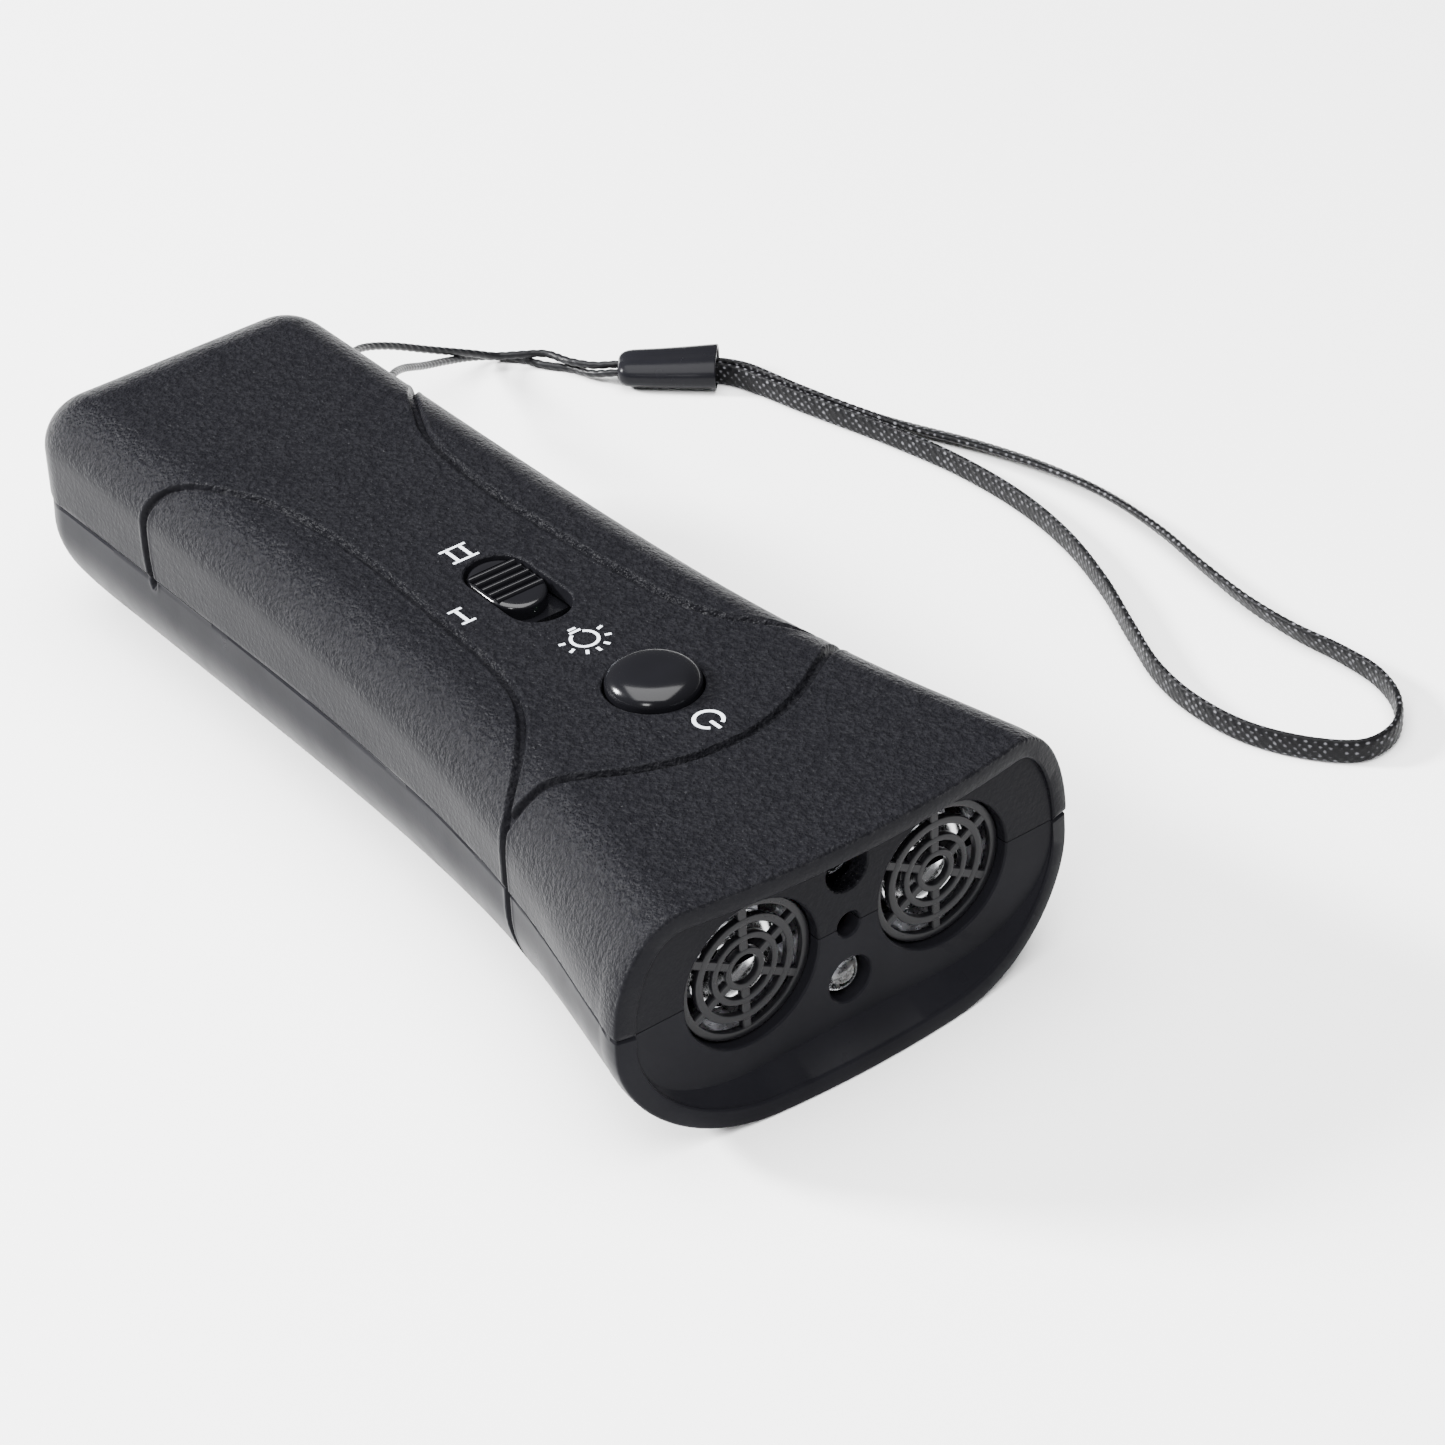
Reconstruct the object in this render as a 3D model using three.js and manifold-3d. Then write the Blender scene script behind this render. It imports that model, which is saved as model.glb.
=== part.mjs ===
// Handheld ultrasonic pest repeller: a two-shell casing with two 16 mm transducers behind
// round grilles, two lamp LEDs, a press button, a three-position slide switch, a 9 V battery
// under a sliding cover, and a braided wrist strap on a thin lanyard cord.
//
// Millimetres, +Z up. The emitter end looks towards -Y and the handle runs towards +Y.
// Lengths along Y are measured from the recessed emitter face and moved by BODY_MID at the end,
// so that the origin is the middle of the casing on the surface that it rests on.

import * as THREE from 'three';
import { mergeVertices } from 'three/addons/utils/BufferGeometryUtils.js';
import Module from 'manifold-3d';

const wasm = await Module();
wasm.setup();

// Casing
const REAR_Y = 125;
const RIM_DEPTH = 3.2;
const RIM_CURVE_RADIUS = 125;
const BODY_MID = (REAR_Y - RIM_DEPTH) / 2;
const TOP_Z = 29.2;
const SEAM_Z = 16.3;
const HEAD_HALF_WIDTH = 28.8;
const HANDLE_HALF_WIDTH = 18.4;
const TAPER_LENGTH = 27.7;
const TAPER_POWER = 1.31;
// Corners of the section are quarter ellipses: [radius across, radius up].
const HEAD_TOP_CORNER = [8, 13.6];
const HANDLE_TOP_CORNER = [6.1, 6.1];
const HEAD_BOTTOM_CORNER = [17.5, 14.8];
const HANDLE_BOTTOM_CORNER = [13, 13];
const REAR_SIDE_RADIUS = 7;
const REAR_TOP_RADIUS = 9;
const REAR_BOTTOM_RADIUS = 12.3;
const LIFT_FROM_Y = 45;
const REAR_LIFT = 0.6;
const WALL = 1.8;
const RIM_WALL = 2.3;
const FACE_THICKNESS = 2;
const GAP = 0.3;

// Emitters and lamps in the face
const GRILLE_X = 12.15;
const GRILLE_HOLE_RADIUS = 8.3;
const LED_HOLE_OFFSET = 6.85;
const LED_HOLE_RADIUS = 2.6;
const INDICATOR_HOLE_RADIUS = 1.4;
const CAN_RADIUS = 8.05;
const CAN_FRONT_Y = 2.3;
const CAN_BACK_Y = 11.2;

// Controls on the top
const BUTTON_Y = 30.8;
const BUTTON_HOLE_RADIUS = 5.5;
const SLOT_Y = 54.2;
const SLOT_LENGTH = 14.4;
const SLOT_WIDTH = 7.3;
const KNOB_LENGTH = 9.8;
const KNOB_Y = SLOT_Y + SLOT_LENGTH / 2 - GAP - KNOB_LENGTH / 2;
const KNOB_TRAVEL = 4;

// Circuit board and battery
const BOARD_TOP_Z = TOP_Z - 7.6;
const BOARD_BOTTOM_Z = BOARD_TOP_Z - 1.6;
const BOARD_FRONT_Y = 16.5;
const BOARD_REAR_Y = 64.5;
const BATTERY_FRONT_Y = 70.6;
const BATTERY_SIZE = [26.5, 46.4, 17.5];
const BATTERY_BOTTOM_Z = 6.6;

// Battery cover
const COVER_HALF_WIDTH = 14;
const COVER_FRONT_Y = 66.3;
const COVER_TOP_Z = 6.2;

// Fasteners: [x, y, outer radius of the lower boss]
const CASE_SCREWS = [
  ['front_left_case_screw', -15.5, 18.5, 3.8],
  ['front_right_case_screw', 15.5, 18.5, 3.8],
  ['rear_left_case_screw', -12.6, 56, 3.4],
  ['rear_right_case_screw', 12.6, 56, 3.4],
];
const BOARD_SCREWS = [
  ['left_board_screw', -8, 40],
  ['right_board_screw', 8, 40],
];

// Lanyard and strap
const EYE_Y = 113;
const EYE_Z = 18.9;
const EYE_HOLE_OFFSET = 2.6;
const EYE_HOLE_RADIUS = 1.25;
const CORD_RADIUS = 0.5;
const STRAP_WIDTH = 3;
const STRAP_THICKNESS = 1;

const Z = new THREE.Vector3(0, 0, 1);

// ---------------------------------------------------------------- solids and booleans

function solid(geometry) {
  const bare = geometry.index ? geometry.toNonIndexed() : geometry.clone();
  bare.deleteAttribute('normal');
  bare.deleteAttribute('uv');
  const merged = mergeVertices(bare, 1e-4);
  return new wasm.Manifold(new wasm.Mesh({
    numProp: 3,
    vertProperties: new Float32Array(merged.attributes.position.array),
    triVerts: new Uint32Array(merged.index.array),
  }));
}

function geometryOf(manifold) {
  const mesh = manifold.getMesh();
  const geometry = new THREE.BufferGeometry();
  geometry.setAttribute('position', new THREE.BufferAttribute(new Float32Array(mesh.vertProperties), 3));
  geometry.setIndex(new THREE.BufferAttribute(new Uint32Array(mesh.triVerts), 1));
  geometry.computeVertexNormals();
  return geometry;
}

function joined(...solids) {
  return solids.reduce((sum, next) => sum.add(next));
}

function block(x0, x1, y0, y1, z0, z1) {
  const box = new THREE.BoxGeometry(x1 - x0, y1 - y0, z1 - z0);
  return solid(box.translate((x0 + x1) / 2, (y0 + y1) / 2, (z0 + z1) / 2));
}

function upright(radius, x, y, z0, z1, sides = 24) {
  const rod = new THREE.CylinderGeometry(radius, radius, z1 - z0, sides);
  return solid(rod.rotateX(Math.PI / 2).translate(x, y, (z0 + z1) / 2));
}

function lying(radius, x, z, y0, y1, sides = 32) {
  const rod = new THREE.CylinderGeometry(radius, radius, y1 - y0, sides);
  return solid(rod.translate(x, (y0 + y1) / 2, z));
}

// A turned piece: profile points are [radius, distance along the axis].
function turnedUpright(profile, x, y, sides = 24) {
  const lathe = new THREE.LatheGeometry(profile.map(([r, h]) => new THREE.Vector2(r, h)), sides);
  return solid(lathe.rotateX(Math.PI / 2).translate(x, y, 0));
}

function turnedLying(profile, x, z, sides = 32) {
  const lathe = new THREE.LatheGeometry(profile.map(([r, h]) => new THREE.Vector2(r, h)), sides);
  return solid(lathe.translate(x, 0, z));
}

function stadiumPrism(width, length, y, z0, z1) {
  const radius = width / 2;
  const reach = length / 2 - radius;
  const shape = new THREE.Shape();
  shape.absarc(0, y + reach, radius, 0, Math.PI, false);
  shape.absarc(0, y - reach, radius, Math.PI, 2 * Math.PI, false);
  shape.closePath();
  const prism = new THREE.ExtrudeGeometry(shape, { depth: z1 - z0, bevelEnabled: false, curveSegments: 8 });
  return solid(prism.translate(0, 0, z0));
}

// ---------------------------------------------------------------- casing form

// 1 at the emitter face, falling to 0 along the handle.
function headShare(y) {
  return Math.exp(-Math.pow(Math.max(y, 0) / TAPER_LENGTH, TAPER_POWER));
}

function mix(handle, head, y) {
  return handle + (head - handle) * headShare(y);
}

// How far an edge rounding of a given radius has drawn the surface in at this distance from the end.
function roundIn(fromEnd, radius) {
  const reach = Math.max(radius - fromEnd, 0);
  return radius - Math.sqrt(Math.max(radius * radius - reach * reach, 0));
}

// The underside rises a little along the handle.
function undersideZ(y) {
  return REAR_LIFT * Math.pow(Math.max(y - LIFT_FROM_Y, 0) / (REAR_Y - LIFT_FROM_Y), 1.5);
}

// The casing's section at y, drawn in by inset, as a ring of points.
function sectionRing(y, inset, arcSteps) {
  const fromEnd = REAR_Y - inset - y;
  const sideIn = roundIn(fromEnd, REAR_SIDE_RADIUS - inset);
  const topIn = roundIn(fromEnd, REAR_TOP_RADIUS - inset);
  const bottomIn = roundIn(fromEnd, REAR_BOTTOM_RADIUS - inset);
  const half = mix(HANDLE_HALF_WIDTH, HEAD_HALF_WIDTH, y) - inset - sideIn;
  const top = TOP_Z - inset - topIn;
  const bottom = undersideZ(y) + inset + bottomIn;
  const topCorner = [0, 1].map((i) => Math.max(mix(HANDLE_TOP_CORNER[i], HEAD_TOP_CORNER[i], y) - inset - sideIn, 1));
  const bottomCorner = [0, 1].map((i) => (
    Math.max(mix(HANDLE_BOTTOM_CORNER[i], HEAD_BOTTOM_CORNER[i], y) - inset - bottomIn, 1)));
  const ring = [];
  for (const [quarter, sideX, sideZ] of [[0, 1, 1], [1, -1, 1], [2, -1, -1], [3, 1, -1]]) {
    const [across, up] = sideZ > 0 ? topCorner : bottomCorner;
    const cx = sideX * (half - across);
    const cz = sideZ > 0 ? top - up : bottom + up;
    for (let i = 0; i <= arcSteps; i += 1) {
      const angle = (quarter + i / arcSteps) * Math.PI / 2;
      ring.push(new THREE.Vector3(cx + across * Math.cos(angle), y, cz + up * Math.sin(angle)));
    }
  }
  return ring;
}

// Joins rings of equal length into one closed body with flat ends.
function loft(rings) {
  const count = rings[0].length;
  const points = rings.flat();
  const middles = [rings[0], rings[rings.length - 1]].map((ring) => ring
    .reduce((sum, point) => sum.add(point), new THREE.Vector3()).divideScalar(count));
  const index = [];
  for (let r = 0; r + 1 < rings.length; r += 1) {
    for (let i = 0; i < count; i += 1) {
      const a = r * count + i;
      const b = r * count + (i + 1) % count;
      index.push(a, a + count, b, b, a + count, b + count);
    }
  }
  const last = (rings.length - 1) * count;
  for (let i = 0; i < count; i += 1) {
    const next = (i + 1) % count;
    index.push(points.length, i, next, points.length + 1, last + next, last + i);
  }
  const geometry = new THREE.BufferGeometry().setFromPoints([...points, ...middles]);
  geometry.setIndex(index);
  return solid(geometry);
}

function stations(first, inset) {
  const end = REAR_Y - inset;
  const along = [0, 3, 7, 12, 19, 27, 36, 47, 60, 82, 104];
  const rounding = [12, 9, 6, 3.6, 1.7, 0.5, 0].map((back) => end - back);
  return [first, ...along.filter((y) => y > first + 0.5), ...rounding];
}

function casingForm(first, inset, arcSteps = 5) {
  return loft(stations(first, inset).map((y) => sectionRing(y, inset, arcSteps)));
}

function hollowCasing() {
  const rimCurve = new THREE.CylinderGeometry(RIM_CURVE_RADIUS, RIM_CURVE_RADIUS, 60, 120);
  rimCurve.rotateX(Math.PI / 2).translate(0, RIM_CURVE_RADIUS - RIM_DEPTH, TOP_Z / 2);
  const recess = loft([-10, 0].map((y) => sectionRing(y, RIM_WALL, 5)));
  let casing = casingForm(-RIM_DEPTH - 1, 0).intersect(solid(rimCurve));
  casing = casing.subtract(recess).subtract(casingForm(FACE_THICKNESS, WALL));
  for (const hole of faceHoles()) casing = casing.subtract(hole);
  return casing;
}

function faceHoles() {
  const y0 = -5;
  const y1 = FACE_THICKNESS + 1;
  return [
    lying(GRILLE_HOLE_RADIUS, -GRILLE_X, SEAM_Z, y0, y1, 30),
    lying(GRILLE_HOLE_RADIUS, GRILLE_X, SEAM_Z, y0, y1, 30),
    lying(LED_HOLE_RADIUS, 0, SEAM_Z + LED_HOLE_OFFSET, y0, y1, 20),
    lying(LED_HOLE_RADIUS, 0, SEAM_Z - LED_HOLE_OFFSET, y0, y1, 20),
    lying(INDICATOR_HOLE_RADIUS, 0, SEAM_Z, y0, y1, 16),
  ];
}

// ---------------------------------------------------------------- shells and cover

const casing = hollowCasing();
const outerForm = casingForm(-RIM_DEPTH - 1, 0);

function topShell() {
  const bossTop = TOP_Z - WALL + 0.15;
  let shell = casing.intersect(block(-40, 40, -10, 140, SEAM_Z + GAP / 2, 40));
  shell = shell.subtract(stadiumPrism(SLOT_WIDTH, SLOT_LENGTH, SLOT_Y, 20, 40));
  shell = shell.subtract(upright(BUTTON_HOLE_RADIUS, 0, BUTTON_Y, 20, 40, 36));
  for (const [, x, y] of CASE_SCREWS) {
    const boss = upright(2.6, x, y, SEAM_Z + GAP / 2, bossTop, 16);
    shell = shell.add(boss).subtract(upright(1.25, x, y, SEAM_Z - 1, 24, 12));
  }
  for (const [, x, y] of BOARD_SCREWS) {
    const boss = upright(2.2, x, y, BOARD_TOP_Z + GAP, bossTop, 16);
    shell = shell.add(boss).subtract(upright(1, x, y, BOARD_TOP_Z, 25, 12));
  }
  for (const side of [-1, 1]) {
    const hole = new THREE.CylinderGeometry(EYE_HOLE_RADIUS, EYE_HOLE_RADIUS, 8, 12);
    hole.rotateZ(Math.PI / 2).translate(HANDLE_HALF_WIDTH, EYE_Y + side * EYE_HOLE_OFFSET, EYE_Z);
    shell = shell.subtract(solid(hole));
  }
  return shell;
}

function bottomShell() {
  let shell = casing.intersect(block(-40, 40, -10, 140, -5, SEAM_Z - GAP / 2));
  const bayHalf = COVER_HALF_WIDTH + GAP;
  shell = shell.subtract(block(-bayHalf, bayHalf, COVER_FRONT_Y - GAP, 140, -5, COVER_TOP_Z + GAP));
  for (const [, x, y, radius] of CASE_SCREWS) {
    const boss = upright(radius, x, y, -1, SEAM_Z - GAP / 2, 20).intersect(outerForm);
    shell = shell.add(boss);
    shell = shell.subtract(upright(radius - 0.9, x, y, -2, 5.1, 16));
    shell = shell.subtract(upright(1.4, x, y, 0, SEAM_Z + 1, 12));
  }
  for (const side of [-1, 1]) {
    shell = shell.add(block(side * 9.5 - 2.5, side * 9.5 + 2.5, 63.6, 64.8, WALL - 0.5, 14));
  }
  return shell;
}

function batteryCover() {
  const wall = outerForm.subtract(casingForm(FACE_THICKNESS, WALL));
  const plate = wall.intersect(block(-COVER_HALF_WIDTH, COVER_HALF_WIDTH, COVER_FRONT_Y, 140, -5, COVER_TOP_Z));
  const tongueZ = WALL + GAP;
  const tongue = block(-6, 6, COVER_FRONT_Y - 3.8, COVER_FRONT_Y + 3, tongueZ, tongueZ + 1.4);
  const root = block(-6, 6, COVER_FRONT_Y + 0.3, COVER_FRONT_Y + 3, WALL - 0.8, tongueZ + 1);
  return joined(plate, tongue, root);
}

// ---------------------------------------------------------------- emitters and lamps

const GRILLE_RINGS = [[0, 0.2], [0.29, 0.41], [0.5, 0.63], [0.74, 0.86]];
const GRILLE_RADIUS = 8.05;
const SPOKE_WIDTH = 1.05;

// A disc with a middle hole and rings of slots, which six spokes interrupt.
function grille() {
  const shape = new THREE.Shape().absarc(0, 0, GRILLE_RADIUS, 0, 2 * Math.PI, false);
  for (const [inner, outer] of GRILLE_RINGS) {
    if (inner === 0) {
      shape.holes.push(new THREE.Path().absarc(0, 0, outer * GRILLE_HOLE_RADIUS, 0, 2 * Math.PI, true));
      continue;
    }
    for (let i = 0; i < 6; i += 1) shape.holes.push(ringSlot(inner, outer, Math.PI / 6 + i * Math.PI / 3));
  }
  const disc = new THREE.ExtrudeGeometry(shape, { depth: 0.8, bevelEnabled: false, curveSegments: 12 });
  return solid(disc.rotateX(Math.PI / 2).translate(0, 1.9, 0));
}

function ringSlot(innerShare, outerShare, spokeAngle) {
  const inner = innerShare * GRILLE_HOLE_RADIUS;
  const outer = outerShare * GRILLE_HOLE_RADIUS;
  const steps = 3;
  const points = [];
  for (const [radius, forward] of [[outer, true], [inner, false]]) {
    const margin = Math.asin(SPOKE_WIDTH / 2 / radius);
    const from = spokeAngle + margin;
    const to = spokeAngle + Math.PI / 3 - margin;
    for (let i = 0; i <= steps; i += 1) {
      const share = forward ? i / steps : 1 - i / steps;
      const angle = from + (to - from) * share;
      points.push(new THREE.Vector2(radius * Math.cos(angle), radius * Math.sin(angle)));
    }
  }
  return new THREE.Path(points);
}

function transducerCan() {
  const inner = CAN_RADIUS - 0.5;
  return turnedLying([
    [inner, CAN_FRONT_Y], [CAN_RADIUS, CAN_FRONT_Y], [CAN_RADIUS, CAN_BACK_Y], [inner, CAN_BACK_Y],
    [inner, CAN_FRONT_Y],
  ], 0, 0, 28);
}

// A thin metal horn on a disc.
function transducerCone() {
  return turnedLying([
    [0, 5.3], [1.7, 5.3], [5.2, 3.3], [5.6, 3.5], [2.2, 6.2], [2.2, 7.2], [6.4, 7.2], [6.4, 7.9], [0, 7.9],
  ], 0, 0, 22);
}

function transducerBase() {
  const disc = lying(CAN_RADIUS - 0.8, 0, 0, 8.3, CAN_BACK_Y + 0.6, 22);
  const pins = [-2.5, 2.5].map((z) => lying(0.5, 0, z, CAN_BACK_Y, 15.2, 8));
  return joined(disc, ...pins);
}

// A domed LED that looks towards -Y, with its flange and two leads to the board.
function led(radius, tipY, bodyLength, z, leadX) {
  const dome = [[0, tipY]];
  for (let i = 1; i <= 4; i += 1) {
    const angle = i * Math.PI / 8;
    dome.push([radius * Math.sin(angle), tipY + radius * (1 - Math.cos(angle))]);
  }
  const back = tipY + bodyLength;
  const flange = radius * 1.15;
  const body = turnedLying([...dome, [radius, back - 1], [flange, back - 1], [flange, back], [0, back]], 0, z, 14);
  const leads = [-leadX, leadX].map((x) => block(x - 0.25, x + 0.25, back - 0.5, 15.9, z - 0.25, z + 0.25));
  return joined(body, ...leads);
}

// ---------------------------------------------------------------- controls

function buttonCap() {
  const skirt = BUTTON_HOLE_RADIUS - GAP;
  return turnedUpright([
    [0, TOP_Z - 3.3], [1.6, TOP_Z - 3.3], [1.6, TOP_Z - 2.6], [6.3, TOP_Z - 2.6], [6.3, TOP_Z - 2.1],
    [skirt, TOP_Z - 2.1], [skirt, TOP_Z + 0.2],
    [4.6, TOP_Z + 0.95], [3.4, TOP_Z + 1.5], [1.8, TOP_Z + 1.85], [0, TOP_Z + 2],
  ], 0, BUTTON_Y, 28);
}

function buttonSwitchBody() {
  const body = block(-3, 3, BUTTON_Y - 3, BUTTON_Y + 3, BOARD_TOP_Z + GAP, BOARD_TOP_Z + 3.2);
  return body.subtract(upright(1.95, 0, BUTTON_Y, BOARD_TOP_Z + 0.7, 30, 20));
}

function buttonSwitchPlunger() {
  return upright(1.65, 0, BUTTON_Y, BOARD_TOP_Z + 1.7, TOP_Z - 3.6, 20);
}

// The knob's ribs stand level with the top of the casing.
function modeKnob() {
  const width = SLOT_WIDTH - 2 * GAP;
  const body = stadiumPrism(width, KNOB_LENGTH, KNOB_Y, TOP_Z - 3.7, TOP_Z - 0.6);
  const flange = block(-4.6, 4.6, KNOB_Y - 5.7, KNOB_Y + 5.7, TOP_Z - 3.2, TOP_Z - 2.2);
  const ribs = [-2, -1, 0, 1, 2].map((i) => block(-2.8, 2.8, KNOB_Y + 0.3 + i * 1.25 - 0.3,
    KNOB_Y + 0.3 + i * 1.25 + 0.3, TOP_Z - 1, TOP_Z + 0.05));
  const socket = block(-2, 2, KNOB_Y - 2.3, KNOB_Y + 2.3, TOP_Z - 4.6, TOP_Z - 1.6);
  return joined(body, flange, ...ribs).subtract(socket);
}

function modeSwitchBody() {
  const body = block(-4.2, 4.2, SLOT_Y - 7, SLOT_Y + 7, BOARD_TOP_Z + GAP, BOARD_TOP_Z + 3.2);
  return body.subtract(block(-2, 2, KNOB_Y - KNOB_TRAVEL - 2.3, KNOB_Y + 2.3, BOARD_TOP_Z + 1.1, 30));
}

function modeSwitchSlider() {
  return block(-1.7, 1.7, KNOB_Y - 2, KNOB_Y + 2, BOARD_TOP_Z + 1.4, TOP_Z - 2);
}

// ---------------------------------------------------------------- circuit board and battery

function circuitBoard() {
  const stepY = 50;
  const wide = 12.4;
  const narrow = 9.6;
  const shape = new THREE.Shape([
    [-wide, BOARD_FRONT_Y], [wide, BOARD_FRONT_Y], [wide, stepY], [narrow, stepY],
    [narrow, BOARD_REAR_Y], [-narrow, BOARD_REAR_Y], [-narrow, stepY], [-wide, stepY],
  ].map(([x, y]) => new THREE.Vector2(x, y)));
  for (const [, x, y] of BOARD_SCREWS) shape.holes.push(new THREE.Path().absarc(x, y, 1.5, 0, 2 * Math.PI, true));
  const depth = BOARD_TOP_Z - BOARD_BOTTOM_Z;
  const board = new THREE.ExtrudeGeometry(shape, { depth, bevelEnabled: false, curveSegments: 8 });
  return solid(board.translate(0, 0, BOARD_BOTTOM_Z));
}

// Parts under the board hang from its lower face.
const UNDER_BOARD_Z = BOARD_BOTTOM_Z - GAP;

function driverChip() {
  const body = block(-3.2, 3.2, 34, 43.6, UNDER_BOARD_Z - 4, UNDER_BOARD_Z - 0.6);
  const legs = [];
  for (const side of [-1, 1]) {
    for (let i = 0; i < 4; i += 1) {
      const y = 35 + i * 2.54;
      legs.push(block(side * 3.6 - 0.8, side * 3.6 + 0.8, y - 0.25, y + 0.25, UNDER_BOARD_Z - 2, UNDER_BOARD_Z));
    }
  }
  return joined(body, ...legs);
}

function storageCapacitor() {
  return upright(3.1, -6.8, 26, UNDER_BOARD_Z - 8, UNDER_BOARD_Z, 20);
}

function boostInductor() {
  return turnedUpright([
    [0, 11], [4.4, 11], [4.4, 12.2], [3.2, 12.2], [3.2, 17.6], [4.4, 17.6], [4.4, UNDER_BOARD_Z], [0, UNDER_BOARD_Z],
  ], 6.4, 25.5, 18);
}

function driverTransistor() {
  const body = block(-2.3, 2.3, 53, 56.4, UNDER_BOARD_Z - 7, UNDER_BOARD_Z - 2.5);
  const legs = [-1.27, 0, 1.27].map((x) => block(x - 0.25, x + 0.25, 54.4, 54.9, UNDER_BOARD_Z - 3, UNDER_BOARD_Z));
  return joined(body, ...legs);
}

const BATTERY_MID_Z = BATTERY_BOTTOM_Z + BATTERY_SIZE[2] / 2;

function battery() {
  const half = BATTERY_SIZE[0] / 2;
  const top = BATTERY_BOTTOM_Z + BATTERY_SIZE[2];
  const body = block(-half, half, BATTERY_FRONT_Y, BATTERY_FRONT_Y + BATTERY_SIZE[1], BATTERY_BOTTOM_Z, top);
  const small = lying(2.8, -6.35, BATTERY_MID_Z, BATTERY_FRONT_Y - 1.8, BATTERY_FRONT_Y + 0.5, 16);
  const large = lying(3.9, 6.35, BATTERY_MID_Z, BATTERY_FRONT_Y - 1.8, BATTERY_FRONT_Y + 0.5, 6);
  return joined(body, small, large);
}

function batterySnap() {
  const plate = block(-12.5, 12.5, 66, BATTERY_FRONT_Y - GAP, BATTERY_MID_Z - 7.5, BATTERY_MID_Z + 7.5);
  const small = lying(3.1, -6.35, BATTERY_MID_Z, 68.4, 75, 16);
  const large = lying(4.2, 6.35, BATTERY_MID_Z, 68.4, 75, 16);
  return plate.subtract(small).subtract(large);
}

function foamPad() {
  return block(-11, 11, 74, 112, BATTERY_BOTTOM_Z + BATTERY_SIZE[2] + GAP, TOP_Z - WALL - GAP);
}

function batteryWire(x) {
  const path = new THREE.CatmullRomCurve3([
    [x, 65.7, 12], [x, 63, 12], [x, 60.6, 13.6], [x, 60, 16.5], [x, 60, UNDER_BOARD_Z],
  ].map((p) => new THREE.Vector3(...p)));
  return solid(tube(path, roundSection(0.7, 6), 10));
}

// ---------------------------------------------------------------- fasteners

function crossRecess(radius, z) {
  return joined(block(-radius, radius, -0.28, 0.28, z - 1, z + 0.9), block(-0.28, 0.28, -radius, radius, z - 1, z + 0.9));
}

function screw(headRadius, shankRadius, headZ, headHeight, tipZ) {
  const under = headZ + headHeight;
  const profile = [
    [0, headZ], [headRadius * 0.7, headZ], [headRadius, headZ + headHeight * 0.5], [headRadius, under],
    [shankRadius, under], [shankRadius, tipZ - shankRadius], [0, tipZ],
  ];
  return turnedUpright(profile, 0, 0, 12).subtract(crossRecess(headRadius * 0.6, headZ));
}

// ---------------------------------------------------------------- lanyard and strap

// Both ends of the thin cord go into the crimp; between them it passes round the bridge in the eye.
const CORD_ROUTE = [
  [61.1, 121.3, 2.1], [59.5, 122.9, 1.9], [57.9, 125.8, 1.8], [57.1, 129.9, 1.4], [54.2, 131.3, 1.8],
  [51.5, 132.6, 2.1], [48.4, 132.7, 3.6], [41.9, 132, 7], [34.6, 130.3, 11.2], [29.5, 128.1, 13.9],
  [25, 123.6, 16.4], [21.9, 118.4, 18.3], [19.4, 115.7, EYE_Z], [17.6, 115.65, EYE_Z], [15.8, 114.7, EYE_Z],
  [15.1, 113, EYE_Z], [15.8, 111.3, EYE_Z], [17.6, 110.35, EYE_Z], [19.4, 110.4, EYE_Z], [22.2, 112.2, 18.5],
  [25.9, 116.2, 16.9], [30.4, 120.9, 13.9], [37.1, 126.6, 9.1], [43, 130.8, 5.5], [48.9, 134, 2.3],
  [52.5, 134.4, 0.8], [54.9, 132, 0.55], [56.2, 129, 0.55], [58.2, 126, 0.55], [58.9, 122.7, 1.05],
  [60.3, 120.2, 1.7],
];

// The strap's middle line: x, y, and how far the band leans from standing on edge, in degrees.
const STRAP_ROUTE = [
  [71.18, 112.35, 0], [72.86, 109.32, 0], [73.66, 105.4, 0], [74.62, 100.69, 8], [76.19, 95.98, 30],
  [79.85, 87.16, 60], [83.4, 78.65, 62], [86.14, 69.23, 58], [87.34, 59.91, 50], [86.79, 49.67, 40],
  [85.12, 40.04, 32], [83.95, 31.22, 26], [83.9, 23.62, 20], [84.66, 16.91, 12], [84.5, 11.01, 4],
  [82.38, 6.01, 0], [78.41, 2.61, 0], [73.91, 2.32, 0], [70.2, 5.61, 0], [66.57, 12.7, 0],
  [65.69, 20.59, 0], [66.86, 27.88, 0], [70.07, 35.89, 0], [74, 44.91, 0], [77.21, 54.94, 0],
  [78.67, 64.88, 0], [78.39, 76.11, 0], [76.46, 87.44, 0], [74.66, 95.06, 0], [73.38, 100.48, 0],
  [72.43, 105.19, 0], [71.58, 108.85, 0], [70.35, 111.46, 0],
];
const CRIMP_FROM = new THREE.Vector3(61.24, 120.35, 0);
const CRIMP_TO = new THREE.Vector3(70.43, 112.22, 0);
const CRIMP_LOBE_RADIUS = 1.9;
const CRIMP_LOBE_OFFSET = 1.45;

function roundSection(radius, sides) {
  const points = [];
  for (let i = 0; i < sides; i += 1) {
    const angle = i / sides * 2 * Math.PI;
    points.push(new THREE.Vector2(radius * Math.cos(angle), radius * Math.sin(angle)));
  }
  return new THREE.Shape(points);
}

function tube(path, section, steps) {
  return new THREE.ExtrudeGeometry(section, { steps, extrudePath: path, bevelEnabled: false });
}

function lanyardCord() {
  const path = new THREE.CatmullRomCurve3(CORD_ROUTE.map((p) => new THREE.Vector3(...p)), false, 'centripetal');
  return solid(tube(path, roundSection(CORD_RADIUS, 8), 44));
}

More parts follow.
